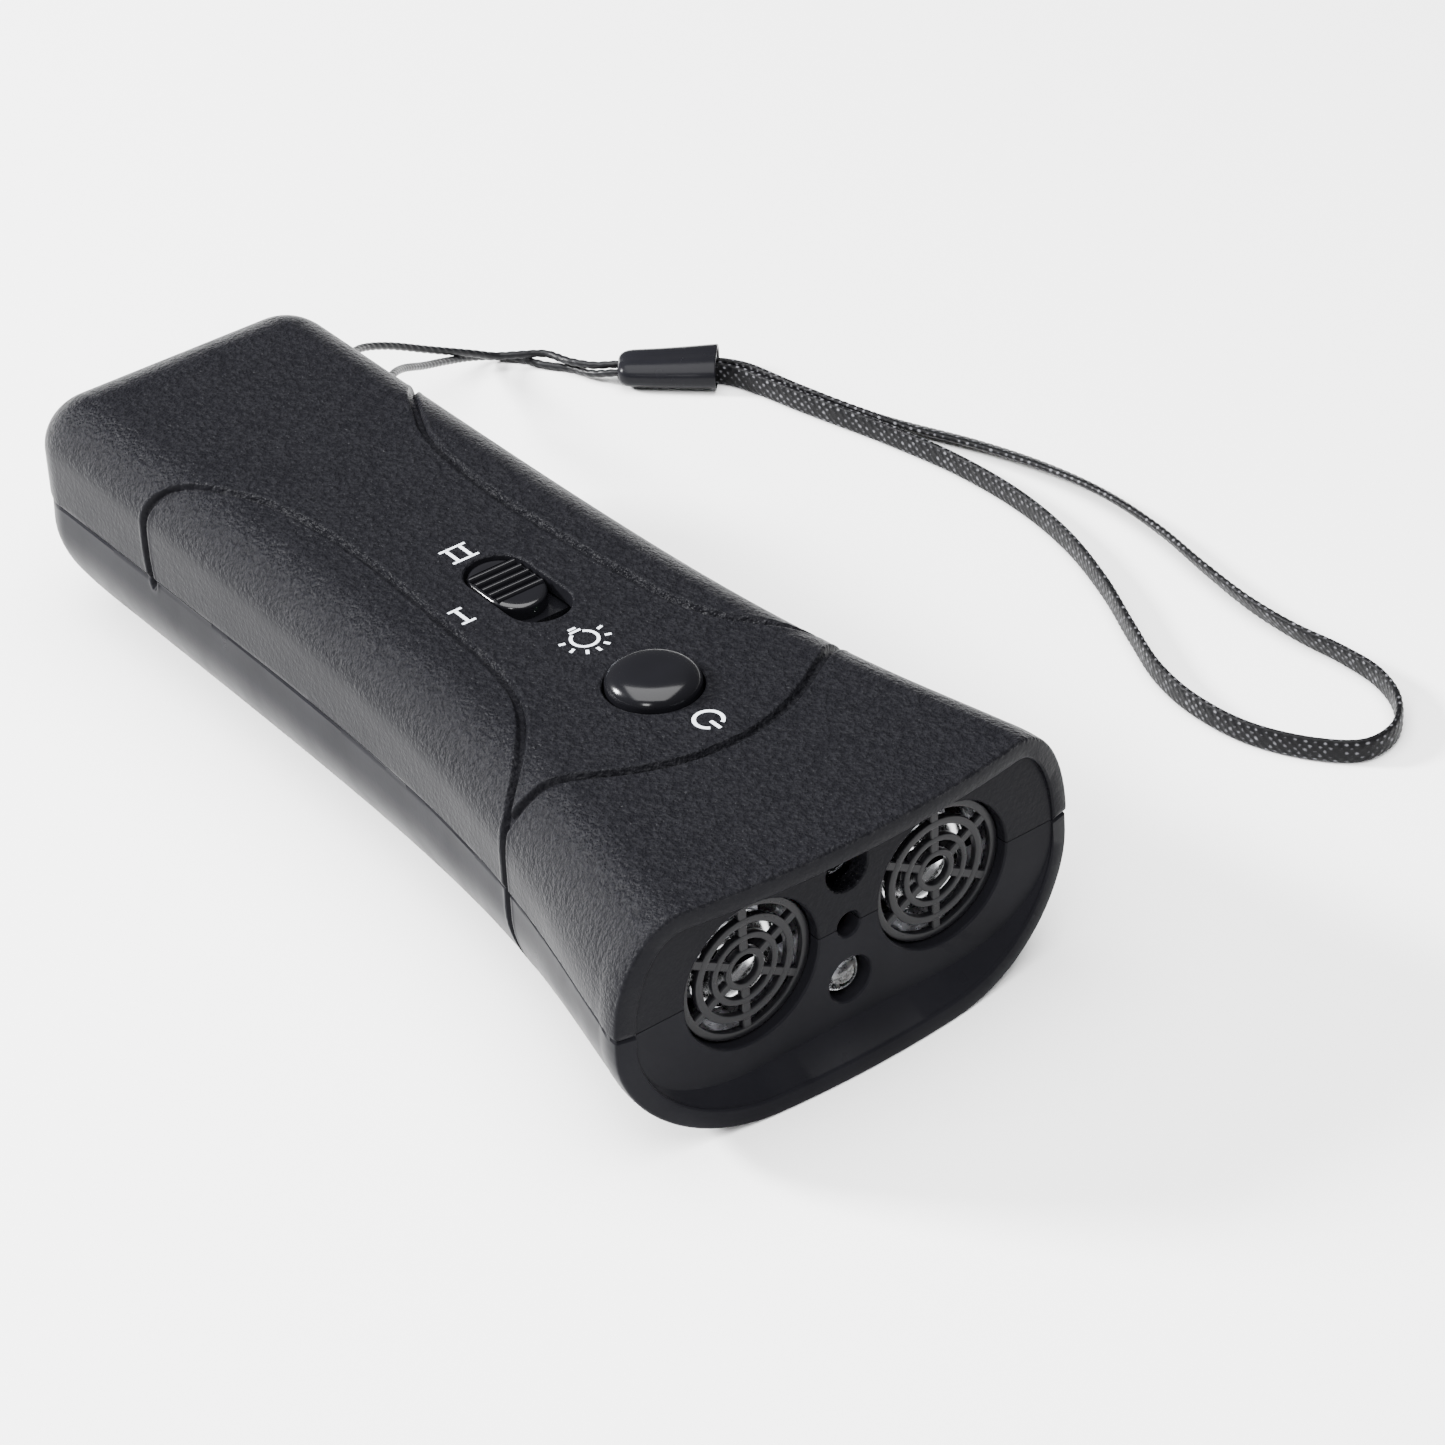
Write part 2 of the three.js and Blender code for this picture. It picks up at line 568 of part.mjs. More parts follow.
// Half the band's height above the floor, when it leans by this many degrees.
function bandLift(lean) {
  const angle = THREE.MathUtils.degToRad(lean);
  return (Math.cos(angle) * STRAP_WIDTH + Math.sin(angle) * STRAP_THICKNESS) / 2 + 0.06;
}

// A level path with the section's width kept upright, or leaning where the route says so.
function strapPath() {
  const points = STRAP_ROUTE.map(([x, y, lean]) => new THREE.Vector3(x, y, bandLift(lean)));
  const path = new THREE.CatmullRomCurve3(points, false, 'centripetal');
  const leanAt = (share) => {
    const place = share * (STRAP_ROUTE.length - 1);
    const before = Math.min(Math.floor(place), STRAP_ROUTE.length - 2);
    return THREE.MathUtils.lerp(STRAP_ROUTE[before][2], STRAP_ROUTE[before + 1][2], place - before);
  };
  path.computeFrenetFrames = (segments) => {
    const frames = { tangents: [], normals: [], binormals: [] };
    for (let i = 0; i <= segments; i += 1) {
      const t = path.getUtoTmapping(i / segments);
      const tangent = path.getTangentAt(i / segments).normalize();
      const lean = THREE.MathUtils.degToRad(leanAt(t));
      const level = new THREE.Vector3().crossVectors(tangent, Z).normalize();
      const upright = new THREE.Vector3().crossVectors(level, tangent).normalize();
      const width = upright.clone().multiplyScalar(Math.cos(lean)).addScaledVector(level, Math.sin(lean));
      frames.tangents.push(tangent);
      frames.normals.push(width);
      frames.binormals.push(new THREE.Vector3().crossVectors(tangent, width).normalize());
    }
    return frames;
  };
  return path;
}

function wristStrap() {
  const half = STRAP_WIDTH / 2;
  const edge = STRAP_THICKNESS / 2;
  const section = new THREE.Shape([
    [half - 0.3, -edge], [half, -edge + 0.3], [half, edge - 0.3], [half - 0.3, edge],
    [-half + 0.3, edge], [-half, edge - 0.3], [-half, -edge + 0.3], [-half + 0.3, -edge],
  ].map(([x, y]) => new THREE.Vector2(x, y)));
  return solid(tube(strapPath(), section, 44));
}

// A pressed sleeve with two lobes side by side, round at the cord's end.
function crimpRing(along, shrink) {
  const axis = new THREE.Vector3().subVectors(CRIMP_TO, CRIMP_FROM).normalize();
  const across = new THREE.Vector3().crossVectors(Z, axis);
  const radius = CRIMP_LOBE_RADIUS * shrink;
  const offset = CRIMP_LOBE_OFFSET * shrink;
  const waist = Math.acos(offset / radius * 0.82);
  const ring = [];
  for (const side of [1, -1]) {
    for (let i = 0; i <= 8; i += 1) {
      const angle = -(Math.PI - waist) + i / 8 * 2 * (Math.PI - waist);
      const u = side * (offset + radius * Math.cos(angle));
      const v = side * radius * Math.sin(angle);
      ring.push(CRIMP_FROM.clone().addScaledVector(axis, along).addScaledVector(across, u)
        .addScaledVector(Z, CRIMP_LOBE_RADIUS + 0.05 + v));
    }
  }
  return ring;
}

function lanyardCrimp() {
  const length = CRIMP_FROM.distanceTo(CRIMP_TO);
  const rings = [[0, 0.5], [0.35, 0.72], [1, 0.88], [2, 0.96], [3.2, 1], [length, 1]];
  return loft(rings.map(([along, shrink]) => crimpRing(along, shrink)).reverse());
}

// ---------------------------------------------------------------- assembly

const LOOKS = {
  shell: { color: 0x17171a, roughness: 0.5, metalness: 0 },
  grille: { color: 0x101012, roughness: 0.45, metalness: 0 },
  gloss: { color: 0x0c0c0e, roughness: 0.18, metalness: 0 },
  satin: { color: 0x1d1d21, roughness: 0.35, metalness: 0 },
  can: { color: 0x8f9094, roughness: 0.35, metalness: 0.9 },
  horn: { color: 0xb9bbc0, roughness: 0.22, metalness: 1 },
  clear: { color: 0xdfe8ee, roughness: 0.08, metalness: 0 },
  redLens: { color: 0xb84038, roughness: 0.15, metalness: 0 },
  board: { color: 0x2f6b3c, roughness: 0.5, metalness: 0 },
  chip: { color: 0x1a1a1a, roughness: 0.55, metalness: 0 },
  steel: { color: 0xa8a9ad, roughness: 0.3, metalness: 1 },
  cell: { color: 0x3c4654, roughness: 0.35, metalness: 0.2 },
  foam: { color: 0x55565a, roughness: 0.95, metalness: 0 },
  redWire: { color: 0xa02420, roughness: 0.45, metalness: 0 },
  cord: { color: 0x161618, roughness: 0.6, metalness: 0 },
  braid: { color: 0x1b1b1e, roughness: 0.8, metalness: 0 },
};

const body = new THREE.Group();
body.position.y = -BODY_MID;

function add(name, manifold, look, x = 0, y = 0, z = 0) {
  const mesh = new THREE.Mesh(geometryOf(manifold), new THREE.MeshStandardMaterial(LOOKS[look]));
  mesh.name = name;
  mesh.position.set(x, y, z);
  body.add(mesh);
}

add('top_shell', topShell(), 'shell');
add('bottom_shell', bottomShell(), 'shell');
add('battery_cover', batteryCover(), 'shell');

for (const [side, x] of [['left', -GRILLE_X], ['right', GRILLE_X]]) {
  add(`${side}_grille`, grille(), 'grille', x, 0, SEAM_Z);
  add(`${side}_transducer_can`, transducerCan(), 'can', x, 0, SEAM_Z);
  add(`${side}_transducer_cone`, transducerCone(), 'horn', x, 0, SEAM_Z);
  add(`${side}_transducer_base`, transducerBase(), 'chip', x, 0, SEAM_Z);
}
add('upper_lamp_led', led(2.5, 2.1, 8.6, SEAM_Z + LED_HOLE_OFFSET, 1.27), 'clear');
add('lower_lamp_led', led(2.5, 0.6, 8.6, SEAM_Z - LED_HOLE_OFFSET, 1.27), 'clear');
add('indicator_led', led(1.45, 2.4, 5.2, SEAM_Z, 1), 'redLens');

add('trigger_button', buttonCap(), 'satin');
add('button_switch_plunger', buttonSwitchPlunger(), 'chip');
add('button_switch_body', buttonSwitchBody(), 'steel');
add('mode_knob', modeKnob(), 'gloss');
add('mode_switch_slider', modeSwitchSlider(), 'chip');
add('mode_switch_body', modeSwitchBody(), 'steel');

add('circuit_board', circuitBoard(), 'board');
add('driver_chip', driverChip(), 'chip');
add('storage_capacitor', storageCapacitor(), 'cell');
add('boost_inductor', boostInductor(), 'chip');
add('driver_transistor', driverTransistor(), 'chip');
add('battery', battery(), 'cell');
add('battery_snap', batterySnap(), 'chip');
add('red_battery_wire', batteryWire(-4), 'redWire');
add('black_battery_wire', batteryWire(4), 'cord');
add('battery_foam_pad', foamPad(), 'foam');

for (const [name, x, y, radius] of CASE_SCREWS) {
  add(name, screw(radius - 1.4, 1, 3.6, 1.5, 22.5), 'steel', x, y, 0);
}
for (const [name, x, y] of BOARD_SCREWS) {
  add(name, screw(1.9, 0.8, BOARD_BOTTOM_Z - GAP - 1.3, 1.3, 25), 'steel', x, y, 0);
}

add('lanyard_cord', lanyardCord(), 'cord');
add('lanyard_crimp', lanyardCrimp(), 'gloss');
add('wrist_strap', wristStrap(), 'braid');

const repeller = new THREE.Group();
repeller.add(body);

export default repeller;
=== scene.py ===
"""Handheld ultrasonic pest repeller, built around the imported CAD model.

Lengths in the tables are millimetres. Y counts from the recessed emitter face, as in the CAD source,
and at() turns such a point into the CAD model's frame, in metres.
"""

import math

import bmesh
import bpy
import numpy as np
from mathutils import Matrix, Vector


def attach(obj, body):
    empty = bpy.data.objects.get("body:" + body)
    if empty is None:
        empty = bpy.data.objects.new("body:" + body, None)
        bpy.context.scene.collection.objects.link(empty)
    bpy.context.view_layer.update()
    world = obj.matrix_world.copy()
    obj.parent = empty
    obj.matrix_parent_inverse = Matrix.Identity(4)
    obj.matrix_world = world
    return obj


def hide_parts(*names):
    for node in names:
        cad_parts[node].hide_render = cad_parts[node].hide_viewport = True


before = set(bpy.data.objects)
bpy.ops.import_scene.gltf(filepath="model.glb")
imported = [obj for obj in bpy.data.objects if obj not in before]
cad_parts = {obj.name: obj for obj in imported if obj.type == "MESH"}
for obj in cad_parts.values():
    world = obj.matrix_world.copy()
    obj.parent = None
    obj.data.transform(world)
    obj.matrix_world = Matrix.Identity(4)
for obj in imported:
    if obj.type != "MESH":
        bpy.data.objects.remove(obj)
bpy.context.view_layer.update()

MM = 0.001
# y of the middle of the casing's length, where the CAD model has its origin
BODY_MID = 60.9


def at(x, y, z):
    return Vector((x * MM, (y - BODY_MID) * MM, z * MM))


def link_object(name, data):
    obj = bpy.data.objects.new(name, data)
    bpy.context.scene.collection.objects.link(obj)
    return obj


# ---------------------------------------------------------------- camera
AZIMUTH, ELEVATION, ROLL = math.radians(-37.885), math.radians(34.033), math.radians(-1.948)
CAMERA_PLACE = at(-233.5, -296.64, 305.84)
LENS, SENSOR_WIDTH = 119.94, 36
SHIFT_X, SHIFT_Y = -0.06583, -0.06077


def add_camera():
    """Looks down on the front left of the casing, turned a little about the line of sight."""
    reach = math.cos(ELEVATION)
    back = Vector((math.sin(AZIMUTH) * reach, -math.cos(AZIMUTH) * reach, math.sin(ELEVATION)))
    level = Vector((math.cos(AZIMUTH), math.sin(AZIMUTH), 0))
    upright = back.cross(level)
    right = math.cos(ROLL) * level + math.sin(ROLL) * upright
    up = math.cos(ROLL) * upright - math.sin(ROLL) * level
    data = bpy.data.cameras.new("camera")
    data.lens = LENS
    data.sensor_width = SENSOR_WIDTH
    data.shift_x = SHIFT_X
    data.shift_y = SHIFT_Y
    camera = link_object("camera", data)
    camera.matrix_world = Matrix((
        (right.x, up.x, back.x, CAMERA_PLACE.x),
        (right.y, up.y, back.y, CAMERA_PLACE.y),
        (right.z, up.z, back.z, CAMERA_PLACE.z),
        (0, 0, 0, 1),
    ))
    bpy.context.scene.camera = camera


add_camera()


# ---------------------------------------------------------------- mesh helpers
def mesh_object(name, points, faces, smooth=True):
    mesh = bpy.data.meshes.new(name)
    mesh.from_pydata([tuple(p) for p in points], [], faces)
    mesh.validate()
    if smooth:
        mesh.shade_smooth()
    return link_object(name, mesh)


def grid_faces(rows, columns):
    """The quads between rings of points that follow each other in one list."""
    faces = []
    for i in range(rows - 1):
        for k in range(columns):
            q = (k + 1) % columns
            faces.append((i * columns + k, i * columns + q, (i + 1) * columns + q, (i + 1) * columns + k))
    return faces


def loft(name, rings):
    """A closed body through rings of equal length, with a fan at each end."""
    count = len(rings[0])
    points = [p for ring in rings for p in ring]
    faces = grid_faces(len(rings), count)
    for ring, first in ((rings[0], True), (rings[-1], False)):
        middle = len(points)
        points.append(sum((Vector(p) for p in ring), Vector()) / count)
        base = 0 if first else (len(rings) - 1) * count
        for k in range(count):
            pair = (base + (k + 1) % count, base + k)
            faces.append((middle, *pair) if first else (middle, *reversed(pair)))
    return mesh_object(name, points, faces)


def facing_out(obj):
    """Turns every face outwards, as the boolean solver needs."""
    b = bmesh.new()
    b.from_mesh(obj.data)
    bmesh.ops.recalc_face_normals(b, faces=b.faces)
    if b.calc_volume(signed=True) < 0:
        bmesh.ops.reverse_faces(b, faces=b.faces)
    b.to_mesh(obj.data)
    b.free()
    return obj


def boolean(obj, other, operation="DIFFERENCE"):
    """Cuts other out of obj, or joins or intersects them, and removes other."""
    facing_out(other)
    m = obj.modifiers.new("cut", "BOOLEAN")
    m.operation, m.solver, m.object = operation, "MANIFOLD", other
    depsgraph = bpy.context.evaluated_depsgraph_get()
    depsgraph.update()
    mesh = bpy.data.meshes.new_from_object(obj.evaluated_get(depsgraph))
    obj.modifiers.clear()
    old = obj.data
    obj.data = mesh
    bpy.data.meshes.remove(old)
    bpy.data.objects.remove(other)
    return obj


def block(x0, x1, y0, y1, z0, z1):
    points = [at(x, y, z) for x in (x0, x1) for y in (y0, y1) for z in (z0, z1)]
    faces = [(0, 1, 3, 2), (4, 6, 7, 5), (0, 4, 5, 1), (2, 3, 7, 6), (0, 2, 6, 4), (1, 5, 7, 3)]
    return mesh_object("block", points, faces, smooth=False)


def lathe(name, profile, place, axis, sides=48):
    """Turns (radius, along) points round an axis through place; axis is 'y' or 'z', in millimetres."""
    x, y, z = place
    rings = []
    for radius, along in profile:
        ring = []
        for k in range(sides):
            a = 2 * math.pi * k / sides
            u, v = max(radius, 0.001) * math.cos(a), max(radius, 0.001) * math.sin(a)
            ring.append(at(x + u, y + along, z + v) if axis == "y" else at(x + u, y + v, z + along))
        rings.append(ring)
    return facing_out(loft(name, rings))


def lay_across(obj, place):
    """Turns an upright lathe made at the origin to lie along X, with its middle at place."""
    turned = Matrix.Rotation(math.pi / 2, 4, "Y") @ Matrix.Translation(-at(0, 0, 0))
    obj.data.transform(Matrix.Translation(place) @ turned)
    return obj


def finish_mesh(obj, angle):
    """Smooth shading, with edges sharper than angle degrees kept sharp."""
    obj.data.shade_smooth()
    obj.data.set_sharp_from_angle(angle=math.radians(angle))


def copy_of(obj, name):
    return link_object(name, obj.data.copy())


# ---------------------------------------------------------------- material helpers
class Paint:
    def __init__(self, name, colour, rough, metal=0.0, specular=0.5):
        self.material = bpy.data.materials.new(name)
        self.material.use_nodes = True
        self.tree = self.material.node_tree
        self.shader = self.tree.nodes["Principled BSDF"]
        self.shader.inputs["Base Color"].default_value = (*colour, 1)
        self.shader.inputs["Roughness"].default_value = rough
        self.shader.inputs["Metallic"].default_value = metal
        self.shader.inputs["Specular IOR Level"].default_value = specular
        self.coordinates = self.node("ShaderNodeTexCoord").outputs["Object"]

    def node(self, kind, **values):
        n = self.tree.nodes.new(kind)
        for key, value in values.items():
            if key in n.inputs:
                n.inputs[key].default_value = value
            else:
                setattr(n, key, value)
        return n

    def link(self, a, b):
        self.tree.links.new(a, b)
        return b

    def noise(self, size, detail=2.0):
        """Noise with features of about size millimetres."""
        n = self.node("ShaderNodeTexNoise", Scale=1 / (size * MM), Detail=detail)
        self.link(self.coordinates, n.inputs["Vector"])
        return n.outputs["Fac"]

    def span(self, value, low, high, to_low, to_high):
        n = self.node("ShaderNodeMapRange")
        for key, v in (("From Min", low), ("From Max", high), ("To Min", to_low), ("To Max", to_high)):
            n.inputs[key].default_value = v
        self.link(value, n.inputs["Value"])
        return n.outputs["Result"]

    def calculate(self, operation, a, b):
        n = self.node("ShaderNodeMath", operation=operation)
        for i, v in enumerate((a, b)):
            if isinstance(v, (int, float)):
                n.inputs[i].default_value = v
            else:
                self.link(v, n.inputs[i])
        return n.outputs[0]

    def bump(self, height, depth):
        """depth is the height in millimetres that a change of 1 stands for."""
        n = self.node("ShaderNodeBump", Strength=1.0, Distance=depth * MM)
        self.link(height, n.inputs["Height"])
        self.link(n.outputs["Normal"], self.shader.inputs["Normal"])

    def tint(self, fac, dark, light, low=0.35, high=0.65):
        n = self.node("ShaderNodeMix", data_type="RGBA")
        self.link(self.span(fac, low, high, 0, 1), n.inputs[0])
        n.inputs[6].default_value = (*dark, 1)
        n.inputs[7].default_value = (*light, 1)
        self.link(n.outputs[2], self.shader.inputs["Base Color"])

    def gloss(self, value, low, high):
        """Roughness between low and high, after a noise."""
        self.link(self.span(value, 0.3, 0.7, low, high), self.shader.inputs["Roughness"])


def plastic(name, colour, rough, grain=(0.5, 0.004), specular=0.5):
    """Moulded plastic: faint tone and gloss variation, and a grain of (size, depth) in millimetres."""
    p = Paint(name, colour, rough, specular=specular)
    p.tint(p.noise(9, 3), [c * 0.9 for c in colour], [c * 1.12 for c in colour])
    p.gloss(p.noise(5, 4), rough * 0.85, rough * 1.15)
    size, depth = grain
    p.bump(p.noise(size, 3), depth)
    return p


def metal(name, colour, rough, brushed=0.3):
    p = Paint(name, colour, rough, metal=1.0)
    p.tint(p.noise(2, 3), [c * 0.85 for c in colour], colour)
    p.gloss(p.noise(brushed, 3), rough * 0.7, rough * 1.3)
    p.bump(p.noise(brushed, 2), 0.004)
    return p


CELL, WARP_SIZE, WARP_BY = 0.6, 0.9, 0.6


def grained_plastic():
    """A fine leather grain where the surface faces up, fading on the walls. Its colour is painted shade in
    the grain's valleys and a painted highlight on its peaks.
    """
    p = Paint("grained_shell", (0.006, 0.006, 0.0072), 0.3, specular=0.028)
    normal = p.node("ShaderNodeTexCoord").outputs["Normal"]
    split = p.node("ShaderNodeSeparateXYZ")
    p.link(normal, split.inputs[0])
    upward = p.span(split.outputs["Z"], 0.05, 0.55, 0.12, 1.0)
    # small cells on coordinates that a noise has shifted
    warp = p.node("ShaderNodeTexNoise", Scale=1 / (WARP_SIZE * MM), Detail=2.0)
    p.link(p.coordinates, warp.inputs["Vector"])
    shifted = p.node("ShaderNodeVectorMath", operation="MULTIPLY_ADD")
    p.link(warp.outputs["Color"], shifted.inputs[0])
    shifted.inputs[1].default_value = [WARP_BY * MM] * 3
    p.link(p.coordinates, shifted.inputs[2])
    cells = p.node("ShaderNodeTexVoronoi", Scale=1 / (CELL * MM), Randomness=1.0, feature="SMOOTH_F1")
    p.link(shifted.outputs[0], cells.inputs["Vector"])
    grain = p.calculate("ADD", p.calculate("MULTIPLY", cells.outputs["Distance"], -0.9), p.noise(0.3))
    grain_and_painted_shading = p.calculate("MULTIPLY", grain, upward)
    p.bump(grain_and_painted_shading, 0.24)
    # painted shade in the grain's valleys and painted highlight on its peaks, strongest where the surface
    # faces up
    p.tint(grain_and_painted_shading, (0.0044, 0.0044, 0.0055), (0.0088, 0.0088, 0.0104), -0.05, 0.5)
    p.gloss(p.noise(6, 3), 0.3, 0.36)
    return p


top_paint = grained_plastic()
shell_paint = plastic("satin_shell", (0.006, 0.006, 0.0074), 0.32, (0.45, 0.006), specular=0.025)


# ---------------------------------------------------------------- casing form
REAR_Y, RIM_DEPTH, TOP_Z, SEAM_Z, WALL, RIM_WALL = 125.0, 3.2, 29.2, 16.3, 1.8, 2.3
QUARTER = math.pi / 2
GRILLE_X, GRILLE_HOLE, LED_OFFSET, LED_HOLE, INDICATOR_HOLE = 12.15, 8.3, 6.85, 2.6, 1.4
BUTTON_Y, BUTTON_HOLE, SLOT_Y, SLOT_LENGTH, SLOT_WIDTH = 30.8, 5.3, 54.2, 14.4, 7.3


def mix(handle, head, y):
    """A value that falls smoothly from the head's at the face to the handle's."""
    return handle + (head - handle) * math.exp(-((max(y, 0) / 27.7) ** 1.31))


def round_in(from_end, radius):
    """How far a quarter-round end of this radius has drawn in, from_end before the end."""
    reach = min(max(radius - from_end, 0), radius)
    return radius - math.sqrt(max(radius * radius - reach * reach, 0))


def underside(y):
    """Height of the underside, which rises a little towards the rear."""
    return 0.6 * (max(y - 45, 0) / 80) ** 1.5


def section(y, inset=0.0, fine=1):
    """The casing's outline at y, drawn in by inset, with every fine-th point.

    Its (x, z) points run from the middle of the top over +X and round to -X.
    """
    end = REAR_Y - inset - y
    side, over, under = (round_in(end, r - inset) for r in (7, 9, 12.3))
    half = mix(18.4, 28.8, y) - inset - side
    top, bottom = TOP_Z - inset - over, underside(y) + inset + under
    tx, tz = (max(mix(6.1, head, y) - inset - side, 1) for head in (8, 13.6))
    bx, bz = (max(mix(13, head, y) - inset - under, 1) for head in (17.5, 14.8))
    right_half = []
    for count, point in (
        (26, lambda t: ((half - tx) * t, top)),
        (16, lambda t: (half - tx + tx * math.sin(t * QUARTER), top - tz + tz * math.cos(t * QUARTER))),
        (8, lambda t: (half, top - tz + (bottom + bz - top + tz) * t)),
        (20, lambda t: (half - bx + bx * math.cos(t * QUARTER), bottom + bz - bz * math.sin(t * QUARTER))),
        (10, lambda t: ((half - bx) * (1 - t), bottom)),
    ):
        n = max(count // fine, 1)
        right_half += [point(i / n) for i in range(n)]
    right_half.append((0, bottom))
    return right_half + [(-x, z) for x, z in reversed(right_half[1:-1])]


def rim_y(x):
    """y of the rim's bowed front edge."""
    return -(RIM_DEPTH - x * x / 250)


STATION, FRONT_STRETCH, REAR_STRETCH = 0.55, 4, 12.5


def outer_body():
    """The casing's solid outer form."""
    rings = []
    # rim face, then round its outer edge, then back to where the sections stand upright
    rings.append([at(x, rim_y(x), z) for x, z in section(0, 2.6)])
    for back_by, inset in ((0, 0.34), (0.03, 0.2), (0.1, 0.1), (0.2, 0.03), (0.34, 0)):
        rings.append([at(x, rim_y(x) + back_by, z) for x, z in section(0, inset)])
    for k in range(1, 13):
        ring = []
        for x, z in section(FRONT_STRETCH * (k / 12) ** 1.5, 0):
            ring.append(at(x, (rim_y(x) + 0.34) * (1 - k / 12) + FRONT_STRETCH * k / 12, z))
        rings.append(ring)
    y = FRONT_STRETCH + STATION
    while y < REAR_Y - REAR_STRETCH - 0.1:
        rings.append([at(x, y, z) for x, z in section(y)])
        y += STATION
    for k in range(0, 31):
        y = REAR_Y - REAR_STRETCH * (1 - math.sin(k / 30 * QUARTER))
        rings.append([at(x, y, z) for x, z in section(y)])
    return facing_out(loft("outer", rings))


def snap(x, y, z):
    """Moves a point sideways or up onto the casing's surface at its own y."""
    outline = section(y)
    middle_z = 15
    best = None
    angle = math.atan2(z - middle_z, x)
    for (x0, z0), (x1, z1) in zip(outline, outline[1:] + outline[:1]):
        a0, a1 = math.atan2(z0 - middle_z, x0), math.atan2(z1 - middle_z, x1)
        turn = (a1 - a0 + math.pi) % (2 * math.pi) - math.pi
        part = (angle - a0 + math.pi) % (2 * math.pi) - math.pi
        t = part / turn if abs(turn) > 1e-9 else 0
        if -1e-6 <= t <= 1 + 1e-6:
            best = (x0 + (x1 - x0) * t, z0 + (z1 - z0) * t)
    return (best[0], y, best[1])


def between(p, q, a, b, u):
    """The point at u on the line that is p at a and q at b."""
    return p * ((b - u) / (b - a)) + q * ((u - a) / (b - a))


def spline(points, step=None, samples=None):
    """Centripetal Catmull-Rom through the points, resampled evenly, with its length."""
    p = [Vector(q) for q in points]
    p = [2 * p[0] - p[1], *p, 2 * p[-1] - p[-2]]
    fine = []
    for i in range(1, len(p) - 2):
        t = [0.0]
        for a, b in zip(p[i - 1:i + 2], p[i:i + 3]):
            t.append(t[-1] + max((b - a).length, 1e-9) ** 0.5)
        for k in range(24):
            u = t[1] + (t[2] - t[1]) * k / 24
            a = [between(p[i - 1 + j], p[i + j], t[j], t[j + 1], u) for j in range(3)]
            b = [between(a[j], a[j + 1], t[j], t[j + 2], u) for j in range(2)]
            fine.append(between(b[0], b[1], t[1], t[2], u))
    fine.append(p[-2].copy())
    run = [0.0]
    for a, b in zip(fine, fine[1:]):
        run.append(run[-1] + (b - a).length)
    samples = samples or max(2, round(run[-1] / step))
    out, j = [], 0
    for k in range(samples + 1):
        s = run[-1] * k / samples
        while j < len(run) - 2 and run[j + 1] < s:
            j += 1
        out.append(fine[j].lerp(fine[j + 1], (s - run[j]) / max(run[j + 1] - run[j], 1e-12)))
    return out, run[-1]


# Styling grooves on one side, as (x, y, z) points; the other side mirrors them.
PANEL_GROOVE = [
    (18.5, 98.6, 15.6), (18.5, 99.1, 19), (18.5, 99.1, 22.5), (18.2, 98.8, 24.6), (17.5, 98, 26.3),
    (16.4, 96.6, 27.8), (15, 94.7, 28.7), (13.6, 92.3, 29.1), (12.2, 89.6, 29.2), (10.8, 86.4, 29.2),
    (9.9, 82.4, 29.2), (9.3, 78, 29.2), (9, 73, 29.2), (8.95, 67.4, 29.2), (9.2, 61.8, 29.2),
    (9.45, 56.9, 29.2), (9.9, 51.3, 29.2), (10.35, 45.7, 29.2), (11.1, 40.8, 29.2), (12.3, 37.2, 29.2),
    (14, 34.2, 29.2), (16.2, 31.4, 29), (18.7, 28.9, 28), (21, 27.3, 25.5), (22.2, 26.9, 22.4),
    (22.6, 26.8, 19.5), (22.7, 26.8, 16.3), (22.6, 26.7, 14), (22.2, 26.3, 11), (21, 25.8, 8),
    (19, 25.2, 5), (16, 24.7, 2.6), (12, 24.3, 1), (6, 24.1, 0.2), (0, 24, 0),
]
FRONT_GROOVE = [
    (21.9, 27, 23.6), (21.2, 26, 25.4), (20.2, 25.3, 27), (18.4, 24.5, 28.5), (16.6, 23.5, 29.1),
    (14.1, 22.1, 29.2), (11.4, 20.5, 29.2), (7.6, 18.8, 29.2), (3.6, 17.8, 29.2), (0, 17.5, 29.2),
]
GROOVE_DEPTH, SEAM_DEPTH, STEP_DEPTH = 0.7, 0.2, 0.16
REFINED_BAND = 1.2


def groove_lines():
    lines = []
    for table in (PANEL_GROOVE, FRONT_GROOVE):
        line = [snap(*p) for p in spline(table, step=0.45)[0]]
        lines.append(np.array([at(x, y, z) for x, y, z in line]))
        lines.append(np.array([at(-x, y, z) for x, y, z in line]))
    return lines


def distance_to(points, lines):
    """Each point's distance to the nearest line in millimetres, and a large value far from all."""
    reach = 3 * MM
    best = np.full(len(points), 1.0)
    for line in lines:
        near = np.all((points > line.min(0) - reach) & (points < line.max(0) + reach), axis=1)
        index = np.nonzero(near)[0]
        if not len(index):
            continue
        q = points[index]
        low = np.full(len(q), 1.0)
        for a, b in zip(line, line[1:]):
            d = b - a
            t = np.clip(((q - a) @ d) / max(d @ d, 1e-18), 0, 1)
            low = np.minimum(low, np.linalg.norm(q - a - t[:, None] * d, axis=1))
        best[index] = np.minimum(best[index], low)
    return best / MM


def smooth(t):
    """Eases from 0 to 1."""
    t = np.clip(t, 0, 1)
    return t * t * (3 - 2 * t)


